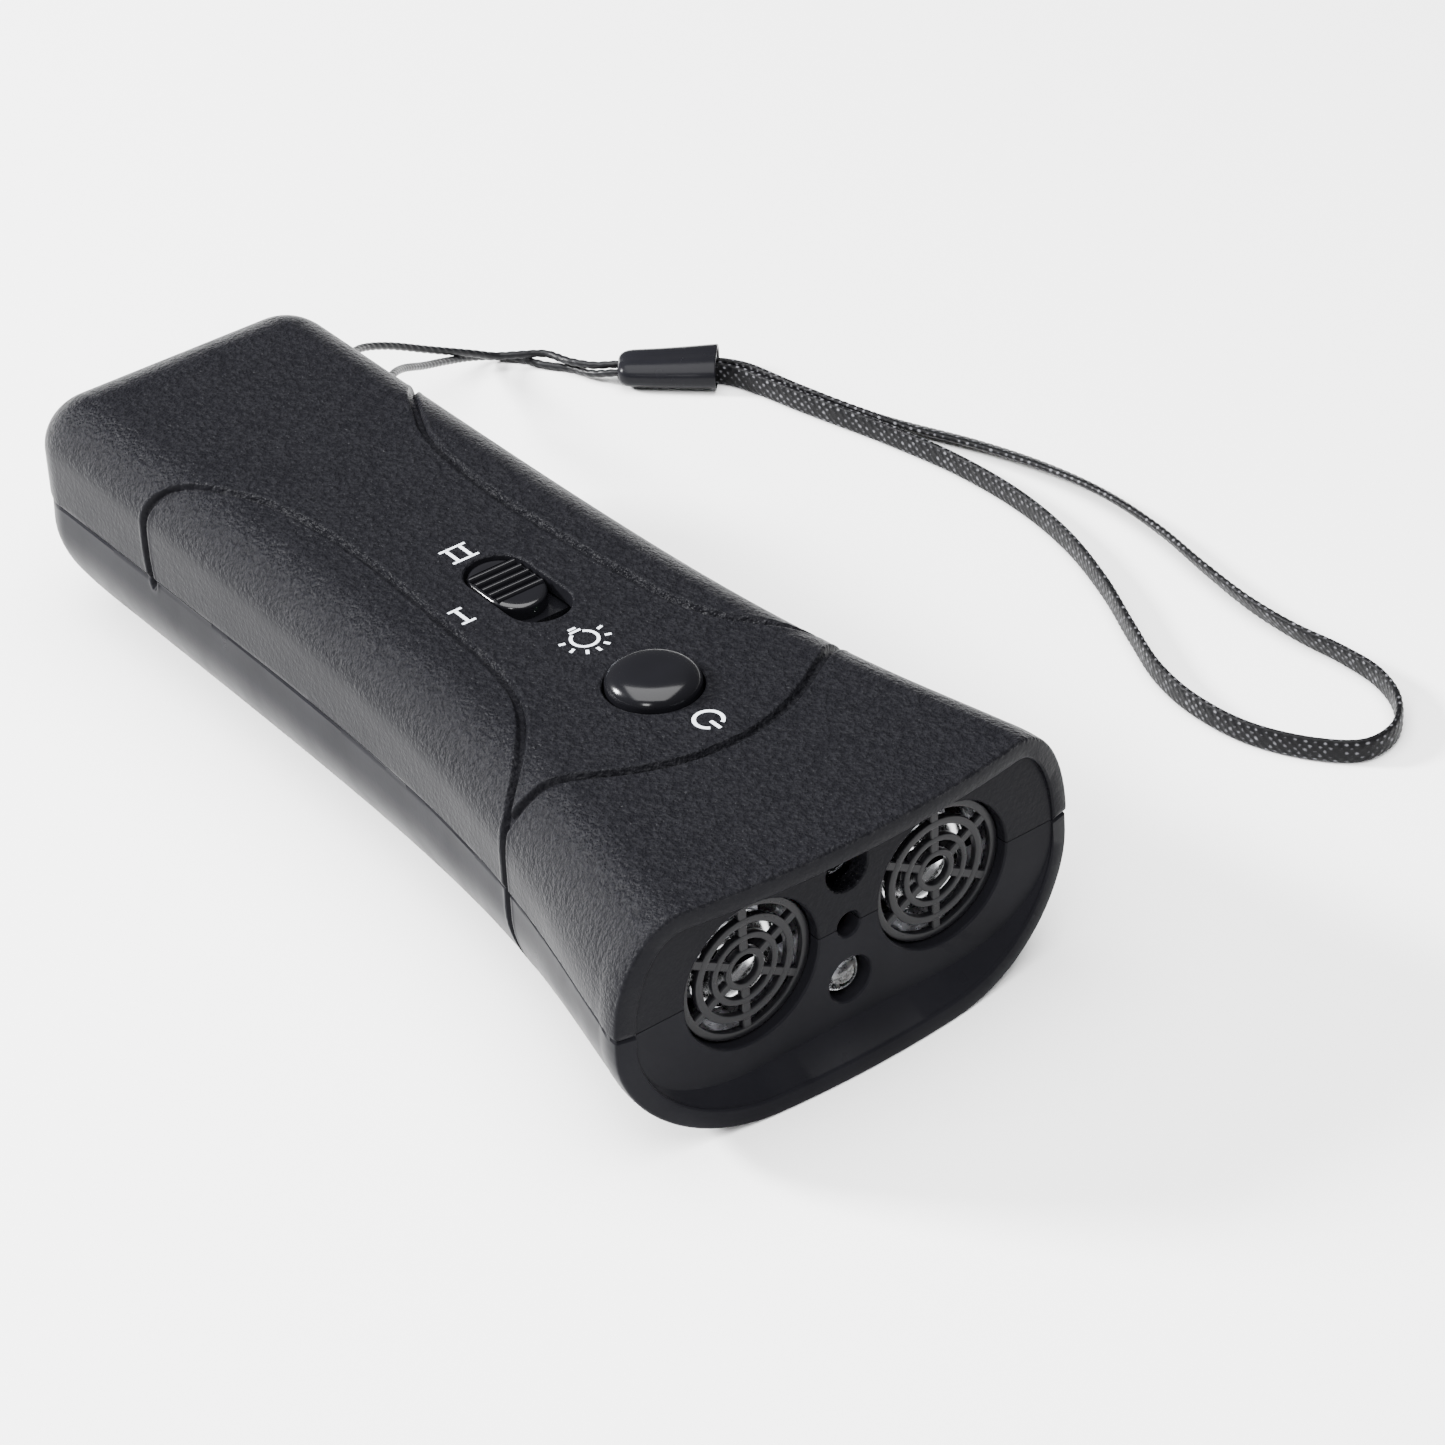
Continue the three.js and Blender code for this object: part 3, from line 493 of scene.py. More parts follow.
def shape_surface(obj):
    """Refines the skin near the grooves and the seam, and presses them into it."""
    lines = groove_lines()
    for longest in (0.34, 0.19):
        b = bmesh.new()
        b.from_mesh(obj.data)
        b.verts.ensure_lookup_table()
        co = np.array([v.co for v in b.verts])
        near = np.minimum(distance_to(co, lines), np.abs(co[:, 2] / MM - SEAM_Z) + 0.35)
        edges = [
            e for e in b.edges
            if min(near[v.index] for v in e.verts) < REFINED_BAND and e.calc_length() > longest * MM
        ]
        bmesh.ops.subdivide_edges(b, edges=edges, cuts=1, use_grid_fill=True)
        bmesh.ops.triangulate(b, faces=[f for f in b.faces if len(f.verts) > 4])
        b.to_mesh(obj.data)
        b.free()
    b = bmesh.new()
    b.from_mesh(obj.data)
    b.normal_update()
    co = np.array([v.co for v in b.verts])
    away = distance_to(co, lines)
    raised_edge = 0.05 * np.exp(-(((away - 0.85) / 0.2) ** 2))
    groove = GROOVE_DEPTH * (1 - smooth((away - 0.24) / 0.4)) - raised_edge
    height = co[:, 2] / MM - SEAM_Z
    behind_rim = smooth((co[:, 1] / MM + BODY_MID + 2.2) / 1.5)
    seam = SEAM_DEPTH * (1 - smooth((np.abs(height) - 0.08) / 0.3))
    step = np.where(height < 0, STEP_DEPTH * smooth(1 + (height + 0.2) / 5), 0) * behind_rim
    for v, press in zip(b.verts, groove + seam + step):
        v.co -= v.normal * float(press) * MM
    b.to_mesh(obj.data)
    b.free()
    return obj


# (height over the surface, extra radius) of the small rounding where a hole meets the surface
FLARE = ((-0.3, 0), (-0.16, 0.02), (-0.06, 0.1), (0, 0.2), (1, 1.2))
CUT_Z, CUT_Y = 20, 4


def hole_upright(radius, x, y):
    """A cutter for a round hole through the top."""
    profile = [(radius, CUT_Z)] + [(radius + more, TOP_Z + at_z) for at_z, more in FLARE]
    return lathe("hole", profile, (x, y, 0), "z", 72)


def hole_front(radius, x, z):
    """A cutter for a round hole through the emitter face, from the front."""
    profile = [(radius, CUT_Y)] + [(radius + more, -at_y) for at_y, more in FLARE]
    return lathe("hole", profile, (x, 0, z), "y", 96)


def stadium(width, length, y, z, steps=24):
    """A ring of points round a slot with half-round ends, long in Y."""
    r, reach = width / 2, length / 2 - width / 2
    ring = []
    for k in range(2 * steps + 2):
        a = math.pi * (k if k <= steps else k - 1) / steps
        ring.append(at(r * math.cos(a), y + (reach if k < steps else -reach) + r * math.sin(a), z))
    return ring


def slot_cutter():
    rings = [stadium(SLOT_WIDTH, SLOT_LENGTH, SLOT_Y, CUT_Z)]
    for at_z, more in FLARE:
        rings.append(stadium(SLOT_WIDTH + 2 * more, SLOT_LENGTH + 2 * more, SLOT_Y, TOP_Z + at_z))
    return loft("slot", rings)


def recess_cutter():
    """The recess in front of the emitter face. Its floor slopes out towards the rim."""
    rings = []
    for back_by, inset in ((-6, 1.5), (-0.02, 1.95), (0.05, 2.1), (0.18, 2.25), (0.4, RIM_WALL)):
        rings.append([at(x, rim_y(x) + back_by, z) for x, z in section(0, inset)])
    ring = []
    for x, z in section(0, RIM_WALL):
        low = min(max(14 - z, 0) / 11.7, 1)
        rise = z if z > 14 else 14 - (14 - z) * (1 - 0.185 * low)
        ring.append(at(x * (1 - 0.012 * low), 0, rise))
    rings.append(ring)
    return loft("recess", rings)


def hollow_loft(name, inset, stations):
    """A closed body that stays inset inside the casing's outside, through the given y stations."""
    return loft(name, [[at(x, y, z) for x, z in section(y, inset, 2)] for y in stations])


# ---------------------------------------------------------------- casing shells and battery cover
INNER_STATIONS = (2, 5, 9, 14, 20, 27, 35, 45, 58, 75, 95, 110.7, 113, 115.5, 118, 120, 121.6, 122.6, 123.1)
body = boolean(shape_surface(outer_body()), recess_cutter())
body = boolean(body, hollow_loft("inner", WALL, INNER_STATIONS))
for x in (-GRILLE_X, GRILLE_X):
    body = boolean(body, hole_front(GRILLE_HOLE, x, SEAM_Z))
for z in (SEAM_Z - LED_OFFSET, SEAM_Z + LED_OFFSET):
    body = boolean(body, hole_front(LED_HOLE, 0, z))
body = boolean(body, hole_front(INDICATOR_HOLE, 0, SEAM_Z))

COVER_HALF, COVER_Y, COVER_Z, GAP = 14.0, 66.3, 6.2, 0.3
cover_space = block(-COVER_HALF, COVER_HALF, COVER_Y, 140, -5, COVER_Z)
cover = boolean(copy_of(body, "cover_plate"), cover_space, "INTERSECT")
top = boolean(copy_of(body, "upper_casing"), block(-40, 40, -10, 140, -5, SEAM_Z + 0.05))
bottom = boolean(body, block(-40, 40, -10, 140, SEAM_Z - 0.05, 40))
bottom.name = "lower_casing"

# top shell: the slot, the button's hole and the strap eye
EYE_X, EYE_Y, EYE_Z, EYE_APART = 18.4, 113, 18.9, 2.6
top = boolean(top, slot_cutter())
top = boolean(top, hole_upright(BUTTON_HOLE, 0, BUTTON_Y))
for y in (EYE_Y - EYE_APART, EYE_Y + EYE_APART):
    eye = lathe("eye", [(1.25, -6), (1.25, 6)], (0, 0, 0), "z", 24)
    top = boolean(top, lay_across(eye, at(EYE_X, y, EYE_Z)))

# bottom shell: the cover's opening, the screw bosses and the lip inside the parting line
opening = block(-COVER_HALF - GAP, COVER_HALF + GAP, COVER_Y - GAP, 140, -5, COVER_Z + GAP)
bottom = boolean(bottom, opening)
wall_middle = hollow_loft("wall_middle", WALL / 2, (3, 9, 14, 20, 27, 35, 45, 58, 75))
for x, y, radius in ((-15.5, 18.5, 3.8), (15.5, 18.5, 3.8), (-12.6, 56, 3.4), (12.6, 56, 3.4)):
    boss = lathe("boss", [(radius, 2), (radius, SEAM_Z - 0.2)], (x, y, 0), "z", 32)
    boss = boolean(boss, copy_of(wall_middle, "wall"), "INTERSECT")
    bottom = boolean(bottom, boss, "UNION")
    bottom = boolean(bottom, lathe("seat", [(radius - 0.9, -2), (radius - 0.9, 5.1)], (x, y, 0), "z", 40))
    bottom = boolean(bottom, lathe("bore", [(1.4, 0), (1.4, SEAM_Z + 1)], (x, y, 0), "z", 20))
bpy.data.objects.remove(wall_middle)
LIP_STATIONS = (3.5, 9, 15, 22, 30, 45, 70, 100, 112, 118, 121.5)
lip = hollow_loft("lip", 1.6, (*LIP_STATIONS, 123.2))
lip = boolean(lip, hollow_loft("lip_inner", 2.5, (*LIP_STATIONS, 122.4)))
lip = boolean(lip, block(-40, 40, -10, 140, 15, 17.2), "INTERSECT")
bottom = boolean(bottom, lip, "UNION")

# cover: six grip lines, and the tongue that goes in under the shell
GRIP_Y, GRIP_APART, GRIP_COUNT = 73, 2.1, 6
for k in range(GRIP_COUNT):
    half = 7.5 - 0.35 * abs(k - 2.5)
    y = GRIP_Y + GRIP_APART * k
    grip_profile = [(0.0, -half), (0.55, -half + 0.5), (0.55, half - 0.5), (0.0, half)]
    grip = lathe("grip", grip_profile, (0, 0, 0), "z", 16)
    cover = boolean(cover, lay_across(grip, at(0, y, underside(y) - 0.18)))
cover = boolean(cover, block(-6, 6, COVER_Y - 3.8, COVER_Y + 3, 2.1, 3.5), "UNION")

for obj, paint, node, carrier in (
    (top, top_paint, "top_shell", "casing"),
    (bottom, shell_paint, "bottom_shell", "casing"),
    (cover, shell_paint, "battery_cover", "cover"),
):
    obj.data.materials.clear()
    obj.data.materials.append(paint.material)
    finish_mesh(obj, 27)
    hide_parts(node)
    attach(obj, carrier)


# ---------------------------------------------------------------- finishes of the smaller pieces
grille_paint = plastic("grille_plastic", (0.006, 0.006, 0.007), 0.3, (0.5, 0.002), specular=0.12)
knob_paint = plastic("polished_knob", (0.004, 0.004, 0.005), 0.16, (0.6, 0.0015), specular=0.3)
button_paint = plastic("satin_button", (0.004, 0.004, 0.005), 0.17, (0.5, 0.0015), specular=0.2)
crimp_paint = plastic("crimp_plastic", (0.006, 0.006, 0.0075), 0.25, (0.8, 0.004), specular=0.07)
chip_paint = plastic("moulded_epoxy", (0.012, 0.012, 0.012), 0.5)
red_wire_paint = plastic("red_insulation", (0.35, 0.02, 0.02), 0.42, (0.7, 0.004))
black_wire_paint = plastic("black_insulation", (0.02, 0.02, 0.02), 0.42, (0.7, 0.004))
foam_paint = plastic("cell_foam", (0.1, 0.1, 0.11), 0.95, (0.8, 0.25))
red_lens_paint = plastic("red_lens", (0.3, 0.035, 0.03), 0.12, (0.9, 0.001))
sleeve_paint = plastic("capacitor_sleeve", (0.05, 0.07, 0.12), 0.3, (1.5, 0.004))
can_paint = metal("drawn_aluminium", (0.56, 0.56, 0.58), 0.32)
horn_paint = metal("spun_aluminium", (0.8, 0.81, 0.83), 0.17, 0.5)
steel_paint = metal("zinc_steel", (0.6, 0.6, 0.61), 0.3)
tin_paint = metal("tinned_steel", (0.6, 0.6, 0.62), 0.25)

board_paint = Paint("solder_mask", (0.04, 0.14, 0.06), 0.35)
tracks = board_paint.node("ShaderNodeTexBrick", Scale=260.0)
board_paint.link(board_paint.coordinates, tracks.inputs["Vector"])
board_paint.tint(tracks.outputs["Fac"], (0.03, 0.12, 0.05), (0.07, 0.22, 0.09))
board_paint.bump(tracks.outputs["Fac"], 0.02)

battery_paint = Paint("battery_jacket", (0.05, 0.07, 0.1), 0.3, metal=0.8)
battery_paint.tint(battery_paint.noise(14, 1), (0.04, 0.055, 0.08), (0.07, 0.09, 0.13))
battery_paint.bump(battery_paint.noise(1.2, 3), 0.01)

clear_paint = Paint("clear_epoxy", (0.95, 0.97, 0.98), 0.02)
clear_paint.shader.inputs["Transmission Weight"].default_value = 1.0
clear_paint.shader.inputs["IOR"].default_value = 1.5
clear_paint.gloss(clear_paint.noise(0.8), 0.01, 0.06)
phosphor_paint = plastic("phosphor", (0.75, 0.66, 0.2), 0.5, (0.15, 0.01))
ink_paint = plastic("pale_ink", (0.62, 0.65, 0.7), 0.5, (0.25, 0.006))

BLACK_EPOXY_NODES = (
    "left_transducer_base", "right_transducer_base", "button_switch_plunger", "mode_switch_slider",
    "driver_chip", "boost_inductor", "driver_transistor", "battery_snap",
)
STEEL_NODES = (
    "front_left_case_screw", "front_right_case_screw", "rear_left_case_screw", "rear_right_case_screw",
    "left_board_screw", "right_board_screw",
)
for names, paint in (
    (("left_transducer_can", "right_transducer_can"), can_paint),
    (BLACK_EPOXY_NODES, chip_paint),
    (("button_switch_body", "mode_switch_body"), tin_paint),
    (("indicator_led",), red_lens_paint),
    (("circuit_board",), board_paint),
    (("storage_capacitor",), sleeve_paint),
    (("battery",), battery_paint),
    (("red_battery_wire",), red_wire_paint),
    (("black_battery_wire",), black_wire_paint),
    (("battery_foam_pad",), foam_paint),
    (STEEL_NODES, steel_paint),
):
    for name in names:
        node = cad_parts[name]
        node.data.materials.clear()
        node.data.materials.append(paint.material)


def dress(obj, paint, carrier, node=None, angle=35):
    """Gives a piece its material, its edges and its body, and hides the CAD node that it replaces, if any.
    """
    obj.data.materials.clear()
    obj.data.materials.append(paint.material)
    finish_mesh(obj, angle)
    if node:
        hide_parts(node)
    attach(obj, carrier)


# ---------------------------------------------------------------- grilles and horns
GRILLE_FRONT, GRILLE_BACK, GRILLE_RADIUS = 1.1, 1.9, 8.05
HORN_PROFILE = (
    (0, 4.25), (0.8, 4.28), (1.35, 4.38), (1.62, 4.6), (1.7, 5.1), (1.8, 5.22), (2.1, 5.0), (2.8, 4.5),
    (3.6, 4.0), (4.5, 3.55), (5.2, 3.3), (5.4, 3.3), (5.5, 3.42), (5.3, 3.7), (2.3, 6.1), (2.2, 7.2),
    (6.4, 7.2), (6.4, 7.9),
)


def hoop(name, inner, outer, x, z, sides=96, edge=0.13):
    """A flat ring in front of a transducer, with small roundings on its edges."""
    near, far = GRILLE_FRONT, GRILLE_BACK
    profile = []
    for r, y, start in ((outer, near, -90), (outer, far, 0), (inner, far, 90), (inner, near, 180)):
        cr = r - edge if r == outer else r + edge
        cy = y + edge if y == near else y - edge
        for k in range(4):
            a = math.radians(start + 30 * k)
            profile.append((cr + edge * math.cos(a), cy + edge * math.sin(a)))
    points = []
    for r, y in profile:
        for k in range(sides):
            a = 2 * math.pi * k / sides
            points.append(at(x + r * math.cos(a), y, z + r * math.sin(a)))
    faces = []
    for i in range(len(profile)):
        here, after = i * sides, (i + 1) % len(profile) * sides
        for k in range(sides):
            q = (k + 1) % sides
            faces.append((here + k, here + q, after + q, after + k))
    return facing_out(mesh_object(name, points, faces))


def spoke(angle, inner, outer, x, z, half=0.52, edge=0.12):
    near, far = GRILLE_FRONT + 0.03, GRILLE_BACK - 0.03
    outline = [
        (-half, far), (-half, near + edge), (-half + edge, near),
        (half - edge, near), (half, near + edge), (half, far),
    ]
    c, s = math.cos(angle), math.sin(angle)
    rings = [[at(x + r * c - u * s, y, z + r * s + u * c) for u, y in outline] for r in (inner, outer)]
    return facing_out(loft("spoke", rings))


for side, x in (("left", -GRILLE_X), ("right", GRILLE_X)):
    grille = hoop(f"{side}_emitter_grille", 0.86 * GRILLE_HOLE, GRILLE_RADIUS, x, SEAM_Z)
    for inner, outer in ((0.63, 0.74), (0.41, 0.5), (0.2, 0.29)):
        grille = boolean(grille, hoop("hoop", inner * GRILLE_HOLE, outer * GRILLE_HOLE, x, SEAM_Z), "UNION")
    for k in range(6):
        arm = spoke(math.radians(30 + 60 * k), 0.24 * GRILLE_HOLE, 0.9 * GRILLE_HOLE, x, SEAM_Z)
        grille = boolean(grille, arm, "UNION")
    dress(grille, grille_paint, "casing", f"{side}_grille")
    horn = lathe(f"{side}_horn", HORN_PROFILE, (x, 0, SEAM_Z), "y", 96)
    dress(horn, horn_paint, "casing", f"{side}_transducer_cone", 50)


# ---------------------------------------------------------------- lamps
LED_RADIUS, LED_FLANGE = 2.45, 2.8
for name, node, tip, z in (
    ("upper_lamp", "upper_lamp_led", 1.5, SEAM_Z + LED_OFFSET),
    ("lower_lamp", "lower_lamp_led", 0.35, SEAM_Z - LED_OFFSET),
):
    bulb_profile = []
    for k in range(11):
        a = math.radians(9 * k)
        bulb_profile.append((LED_RADIUS * math.sin(a), tip + 2.5 * (1 - math.cos(a))))
    bulb_profile += [(2.47, tip + 7.4), (LED_FLANGE, tip + 7.5), (LED_FLANGE, tip + 8.3), (2.7, tip + 8.5)]
    bulb = lathe(f"{name}_bulb", bulb_profile, (0, 0, z), "y", 64)
    dress(bulb, clear_paint, "casing", node, 60)
    cup_y = tip + 3.3
    cup_profile = [
        (0, cup_y + 0.75), (0.5, cup_y + 0.72), (0.8, cup_y + 0.5), (1.75, cup_y + 0.04), (1.95, cup_y),
        (2.0, cup_y + 0.12), (1.9, cup_y + 1.2), (0.6, cup_y + 1.7), (0.5, cup_y + 3.8),
    ]
    cup = lathe(f"{name}_reflector", cup_profile, (0, 0, z), "y", 40)
    dress(cup, tin_paint, "casing")
    die_profile = [(0, cup_y + 0.3), (0.32, cup_y + 0.36), (0.5, cup_y + 0.52), (0.5, cup_y + 0.7)]
    die = lathe(f"{name}_die", die_profile, (0, 0, z), "y", 24)
    dress(die, phosphor_paint, "casing")


# ---------------------------------------------------------------- button and mode knob
BUTTON_RADIUS, BUTTON_RISE = 5.05, 1.75
cap = [
    (1.6, TOP_Z - 3.3), (1.6, TOP_Z - 2.6), (6.2, TOP_Z - 2.6), (6.3, TOP_Z - 2.5), (6.3, TOP_Z - 2.2),
    (6.2, TOP_Z - 2.1), (5.15, TOP_Z - 2.1), (BUTTON_RADIUS, TOP_Z - 2.0), (BUTTON_RADIUS, TOP_Z + 0.2),
]
for k in range(1, 31):
    r = BUTTON_RADIUS * math.cos(math.radians(3 * k))
    cap.append((r, TOP_Z + 0.2 + BUTTON_RISE * (1 - (r / BUTTON_RADIUS) ** 4.2) ** 0.55))
button = lathe("domed_button", cap, (0, BUTTON_Y, 0), "z", 96)
dress(button, button_paint, "button", "trigger_button", 40)

KNOB_Y, KNOB_LENGTH, KNOB_WIDTH = 56.2, 9.8, 6.7
RIB_HALF, RIB_APART, RIB_COUNT = 2.95, 1.25, 5
RIB_SIDE = ((0.36, -0.9), (0.33, -0.5), (0.27, -0.22), (0.17, -0.07), (0.06, -0.01))
# (height over the casing's top, inset) of the knob's side and its rounded upper edge
KNOB_EDGE = (
    (-3.7, 0), (-0.85, 0), (-0.62, 0.03), (-0.43, 0.13), (-0.3, 0.3), (-0.24, 0.52), (-0.22, 1.1),
    (-0.22, 1.9), (-0.22, 2.7),
)
rings = []
for z, inset in KNOB_EDGE:
    rings.append(stadium(KNOB_WIDTH - 2 * inset, KNOB_LENGTH - 2 * inset, KNOB_Y, TOP_Z + z))
knob = loft("ribbed_knob", rings)
# the top slopes down ahead of the ribs
for v in knob.data.vertices:
    ahead = (KNOB_Y - 2.75) - (v.co.y / MM + BODY_MID)
    if v.co.z / MM > TOP_Z - 1.0 and ahead > 0:
        v.co.z -= 0.13 * min(ahead, 2.2) * MM * (v.co.z / MM - TOP_Z + 1.0) / 0.78
ribbed_part = block(-RIB_HALF, RIB_HALF, KNOB_Y - 2.75, KNOB_Y + 3.35, TOP_Z - 0.62, TOP_Z + 1)
knob = boolean(knob, ribbed_part)
rib_outline = [(-u, z) for u, z in RIB_SIDE] + list(reversed(RIB_SIDE))
for k in range(RIB_COUNT):
    y = KNOB_Y + 0.3 + RIB_APART * (k - 2)
    ends = [[at(x, y + u, TOP_Z + z) for u, z in rib_outline] for x in (-RIB_HALF, RIB_HALF)]
    knob = boolean(knob, facing_out(loft("rib", ends)), "UNION")
flange = block(-4.6, 4.6, KNOB_Y - 5.7, KNOB_Y + 5.7, TOP_Z - 3.2, TOP_Z - 2.2)
knob = boolean(knob, flange, "UNION")
dress(knob, knob_paint, "mode_selector", "mode_knob", 50)


# ---------------------------------------------------------------- printed marks
def stroke(points, width):
    """The two edges of a line of ink along (u, v) points, as a pair of points for each."""
    pairs = []
    for i, p in enumerate(points):
        a, b = points[max(i - 1, 0)], points[min(i + 1, len(points) - 1)]
        du, dv = b[0] - a[0], b[1] - a[1]
        length = math.hypot(du, dv)
        n = (-dv / length * width / 2, du / length * width / 2)
        pairs.append(((p[0] + n[0], p[1] + n[1]), (p[0] - n[0], p[1] - n[1])))
    return pairs


def ring_points(radius, start, stop, u=0.0, v=0.0):
    """Points on an arc about (u, v), from start to stop degrees."""
    count = max(int(abs(stop - start) / 9), 2)
    angles = [math.radians(start + (stop - start) * k / count) for k in range(count + 1)]
    return [(u + radius * math.cos(a), v + radius * math.sin(a)) for a in angles]


def mark(name, x, y, strokes):
    """Ink lines on the top surface. They read from the front end, so u and v run against X and Y."""
    points, faces = [], []
    for pairs in strokes:
        base = len(points)
        for pair in pairs:
            for z in (-0.05, 0.012):
                points += [at(x - u, y - v, TOP_Z + z) for u, v in pair]
        for i in range(len(pairs) - 1):
            a, b = base + 4 * i, base + 4 * (i + 1)
            faces += [(a + 2, a + 3, b + 3, b + 2), (a, b, b + 1, a + 1)]
            faces += [(a, a + 2, b + 2, b), (a + 1, b + 1, b + 3, a + 3)]
        end = base + 4 * (len(pairs) - 1)
        faces += [(base, base + 1, base + 3, base + 2), (end, end + 2, end + 3, end + 1)]
    dress(facing_out(mesh_object(name, points, faces)), ink_paint, "casing")


BROAD, MIDDLE, THIN = 0.42, 0.36, 0.32
mark("numeral_two", -0.79, 63.7, [
    stroke([(-0.85, -1.2), (-0.85, 1.2)], BROAD), stroke([(0.85, -1.2), (0.85, 1.2)], BROAD),
    stroke([(-1.65, 1.3), (1.65, 1.3)], THIN), stroke([(-1.65, -1.3), (1.65, -1.3)], THIN),
])
mark("numeral_one", -7.5, 53.75, [
    stroke([(0, -1.2), (0, 1.2)], BROAD),
    stroke([(-0.85, 1.3), (0.85, 1.3)], THIN), stroke([(-0.85, -1.3), (0.85, -1.3)], THIN),
])
lamp_rays = []
for degrees in (-15, 22.5, 60, 90, 120, 157.5, 195):
    c, s = math.cos(math.radians(degrees)), math.sin(math.radians(degrees))
    lamp_rays.append(stroke([(r * c, 0.35 + r * s) for r in (2.15, 2.85)], MIDDLE))
mark("lamp_symbol", -0.4, 42.3, [
    stroke(ring_points(1.45, -62, 242, 0, 0.35), MIDDLE), stroke([(-0.7, -1.35), (0.7, -1.35)], THIN),
    stroke([(-0.45, -1.9), (0.45, -1.9)], THIN), *lamp_rays,
])
mark("power_symbol", 0.3, 22.1, [
    stroke(ring_points(1.5, 122, 418), BROAD), stroke([(0, 0.35), (0, 1.95)], BROAD),
])


# ---------------------------------------------------------------- cord, crimp and strap
CORD_ROUTE = [
    (61.9, 120.6, 2.1), (61.1, 121.3, 2.1), (59.5, 122.9, 1.9), (57.9, 125.8, 1.8), (57.1, 129.9, 1.4),
    (54.2, 131.3, 1.8), (51.5, 132.6, 2.1), (48.4, 132.7, 3.6), (41.9, 132, 7), (34.6, 130.3, 11.2),
    (29.5, 128.1, 13.9), (25, 123.6, 16.4), (21.9, 118.4, 18.3), (19.4, 115.7, 18.9), (17.6, 115.65, 18.9),
    (15.8, 114.7, 18.9), (15.1, 113, 18.9), (15.8, 111.3, 18.9), (17.6, 110.35, 18.9), (19.4, 110.4, 18.9),
    (22.2, 112.2, 18.5), (25.9, 116.2, 16.9), (30.4, 120.9, 13.9), (37.1, 126.6, 9.1), (43, 130.8, 5.5),
    (48.9, 134, 2.3), (52.5, 134.4, 0.8), (54.9, 132, 0.55), (56.2, 129, 0.55), (58.2, 126, 0.55),
    (58.9, 122.7, 1.05), (60.3, 120.2, 1.7), (61.4, 119.2, 1.8),
]
# x, y, and how far the band leans from standing on its edge, in degrees
STRAP_ROUTE = [
    (69.5, 113.85, 0), (71.18, 112.35, 0), (72.86, 109.32, 0), (73.66, 105.4, 0), (74.62, 100.69, 8),
    (76.19, 95.98, 30), (79.85, 87.16, 60), (83.4, 78.65, 62), (86.14, 69.23, 58), (87.34, 59.91, 50),
    (86.79, 49.67, 40), (85.12, 40.04, 32), (83.95, 31.22, 26), (83.9, 23.62, 20), (84.66, 16.91, 12),
    (84.5, 11.01, 4), (82.38, 6.01, 0), (78.41, 2.61, 0), (73.91, 2.32, 0), (70.2, 5.61, 0),
    (66.57, 12.7, 0), (65.69, 20.59, 0), (66.86, 27.88, 0), (70.07, 35.89, 0), (74, 44.91, 0),
    (77.21, 54.94, 0), (78.67, 64.88, 0), (78.39, 76.11, 0), (76.46, 87.44, 0), (74.66, 95.06, 0),
    (73.38, 100.48, 0), (72.43, 105.19, 0), (71.58, 108.85, 0), (70.35, 111.46, 0), (68.7, 112.95, 0),
]
CORD_SAMPLES, CORD_SIDES, LAY_LENGTH = 560, 16, 2.6
STRAP_SAMPLES, BAND_SIDES, PITCH = 1750, 48, 1.1
CORD_WIDTH, BAND_WIDTH, BAND_THICK = 1, 3, 1


def swept(name, line, section_at, count):
    """A closed skin along a line. section_at(i, along) gives that station's (offset vectors, painted
    highlight levels).
    """
    points, painted_highlights, along = [], [], 0.0
    for i, p in enumerate(line):
        if i:
            along += (p - line[i - 1]).length
        offsets, highlight_levels = section_at(i, along)
        points += [p + o for o in offsets]
        painted_highlights += highlight_levels
    faces = grid_faces(len(line), count)
    faces += [tuple(reversed(range(count))), tuple(range(len(points) - count, len(points)))]
    obj = facing_out(mesh_object(name, points, faces))
    if any(painted_highlights):
        layer = obj.data.attributes.new("painted_highlight", "FLOAT", "POINT")
        layer.data.foreach_set("value", painted_highlights)
    return obj


def along_of(line, i):
    """The line's direction at point i."""
    return (line[min(i + 1, len(line) - 1)] - line[max(i - 1, 0)]).normalized()


cord_line, cord_length = spline([at(*p) for p in CORD_ROUTE], samples=CORD_SAMPLES)
# a sideways direction at each point of the cord, carried along without twisting
frames = [Vector((0, 0, 1)).cross(along_of(cord_line, 0)).normalized()]
for i in range(1, len(cord_line)):
    t = along_of(cord_line, i)
    side = frames[-1] - t * frames[-1].dot(t)
    frames.append(side.normalized())


def twisted(i, along):
    """Two plies laid round each other."""
    t, u = along_of(cord_line, i), frames[i]
    w = t.cross(u)
    turn = along / (LAY_LENGTH * MM) * 2 * math.pi
    offsets = []
    for k in range(CORD_SIDES):
        a = 2 * math.pi * k / CORD_SIDES
        r = (0.4 + 0.1 * abs(math.cos(a - turn)) ** 0.8) * MM
        offsets.append(u * (r * math.cos(a)) + w * (r * math.sin(a)))
    return offsets, [0.0] * CORD_SIDES


cord_paint = plastic("waxed_cord", (0.005, 0.005, 0.006), 0.4, (0.18, 0.02), specular=0.15)
lanyard = swept("waxed_lanyard", cord_line, twisted, CORD_SIDES)
dress(lanyard, cord_paint, "casing", "lanyard_cord", 60)

